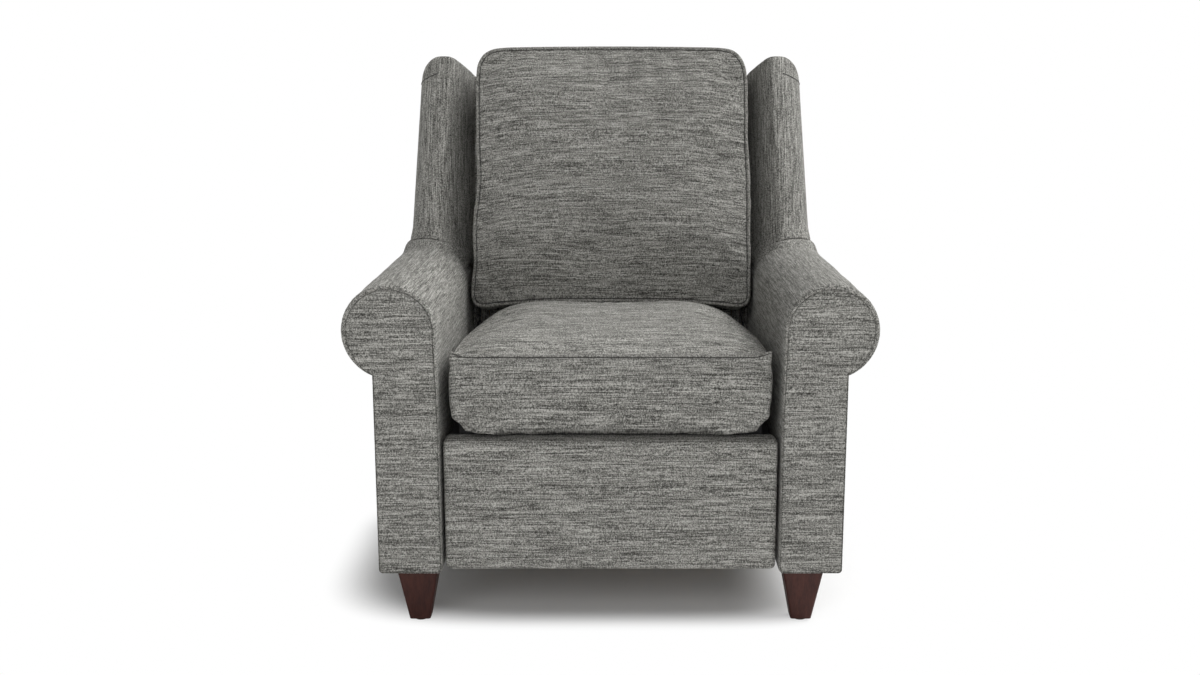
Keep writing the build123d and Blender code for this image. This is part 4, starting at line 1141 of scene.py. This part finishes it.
apron = dress(finish_mesh("seat_front_apron", front_apron(), deck_felt), "base", "deck_cloth")
for side, label in SIDES:
    dress(finish_mesh(f"back_side_{label}", back_side(side), fabric_up), "back", "upholstery", fill=0.7)
    lining = finish_mesh(f"arm_rear_lining_{label}", rear_lining(side), fabric_up)
    dress(lining, "base", "upholstery", fill=0.5)
    strip = dress(finish_mesh(f"back_post_cover_{label}", post_cover(side), fabric_up), "back", "upholstery")
dress(finish_mesh("seat_deck_cover", deck_cover(), deck_felt), "base", "deck_cloth", "seat_deck", fill=0.3)
bands = finish_mesh("back_webbing_bands", webbing_bands(), webbing_cloth)
dress(bands, "back", "webbing", "back_webbing")


# CAD nodes that stay
def paint(material, *starts):
    """Gives a material to the nodes whose names start like this."""
    for name, piece in nodes.items():
        if name.startswith(starts):
            wear(piece.data, material)


paint(leg_wood, "leg_front", "leg_rear")
paint(glide_plastic, "leg_glides")
paint(frame_wood_z, "arm_frame", "back_frame")
paint(frame_wood, "front_stretcher", "seat_rear_rail", "footrest_board")
paint(frame_wood_y, "seat_side_rails")
paint(zinc_steel, "leg_bolts", "plate_", "main_link_pins", "carrier_link_pins", "bracket_pins",
      "back_pivot_pins", "recline_rod", "footrest_rod", "seat_springs")
paint(black_steel, "mechanism_plate", "front_cross", "rear_cross", "main_links", "guide_links",
      "carrier_links", "control_links", "footrest_brackets", "drive_", "back_bracket", "back_cross",
      "recline_tube", "footrest_tube")
paint(motor_plastic, "recline_motor", "footrest_motor", "control_box")
paint(panel_plastic, "control_panel", "power_inlet")
paint(button_plastic, "button_")
paint(deck_felt, "seat_front_rail")


# Floor, light and camera
WHITE = (1.0, 1.0, 1.0, 1.0)
FLOOR_GREY = (0.89, 0.89, 0.89, 1.0)


def floor_material():
    """Pale floor that takes the chair's shadow and is white to the camera further away."""
    material = bpy.data.materials.new("pale_floor")
    tree = empty_tree(material)
    diffuse = node(tree, "BsdfDiffuse", in_0=FLOOR_GREY)
    white = node(tree, "Emission", in_0=WHITE, in_1=1.0)
    coords = node(tree, "TexCoord").outputs["Object"]
    shares = node(tree, "VectorMath", [(coords, 0)], operation="MULTIPLY_ADD",
                  in_1=(1.0 / 0.50, 1.0 / 0.38, 0.0), in_2=(0.0, 0.05, 0.0))
    squares = node(tree, "VectorMath", [(shares, 0), (shares, 1)], operation="MULTIPLY")
    distance = node(tree, "VectorMath", [(squares, 0)], operation="LENGTH").outputs["Value"]
    far = node(tree, "MapRange", [(distance, 0)], interpolation_type="SMOOTHSTEP", in_1=0.70, in_2=1.25)
    camera_ray = node(tree, "LightPath").outputs["Is Camera Ray"]
    share = node(tree, "Math", [(far, 0), (camera_ray, 1)], operation="MULTIPLY")
    mix = node(tree, "MixShader", [(share, 0), (diffuse, 1), (white, 2)])
    node(tree, "OutputMaterial", [(mix, 0)])
    return material


def floor(size=30.0):
    bm = bmesh.new()
    bmesh.ops.create_grid(bm, x_segments=8, y_segments=8, size=size)
    mesh = bpy.data.meshes.new("studio_floor")
    bm.to_mesh(mesh)
    bm.free()
    wear(mesh, floor_material())
    made = link("studio_floor", mesh)


def sun(name, direction, strength, angle):
    light = bpy.data.lights.new(name, "SUN")
    light.energy = strength
    light.angle = radians(angle)
    made = link(name, light)
    made.rotation_mode = "QUATERNION"
    made.rotation_quaternion = Vector(direction).to_track_quat("Z", "Y")


def world_light(strength):
    """Even studio light, with a white background for what the camera, gloss and glass see."""
    world = bpy.data.worlds.new("studio")
    tree = empty_tree(world)
    paths = node(tree, "LightPath").outputs
    seen = paths["Is Camera Ray"]
    for kind in ("Is Glossy Ray", "Is Transmission Ray"):
        seen = node(tree, "Math", [(seen, 0), (paths[kind], 1)], operation="MAXIMUM")
    ambient = node(tree, "Background", in_0=WHITE, in_1=strength)
    white = node(tree, "Background", in_0=WHITE, in_1=1.0)
    mix = node(tree, "MixShader", [(seen, 0), (ambient, 1), (white, 2)])
    node(tree, "OutputWorld", [(mix, 0)])
    scene.world = world


floor()
world_light(0.23)
sun("key", (0.62, 0.20, 0.77), 3.3, 45.0)
sun("front_fill", (-0.06, -1.0, 0.14), 1.70, 80.0)

camera_data = bpy.data.cameras.new("camera")
camera_data.lens = 40.65
camera_data.sensor_width = 36.0
camera_data.shift_x = -0.00875
camera_data.clip_start = 0.05
camera_data.clip_end = 200.0
camera = link("camera", camera_data)
camera.location = (0.0, -2.671, 0.972)
camera.rotation_euler = (radians(90.0 - 11.3), 0.0, 0.0)
scene.camera = camera
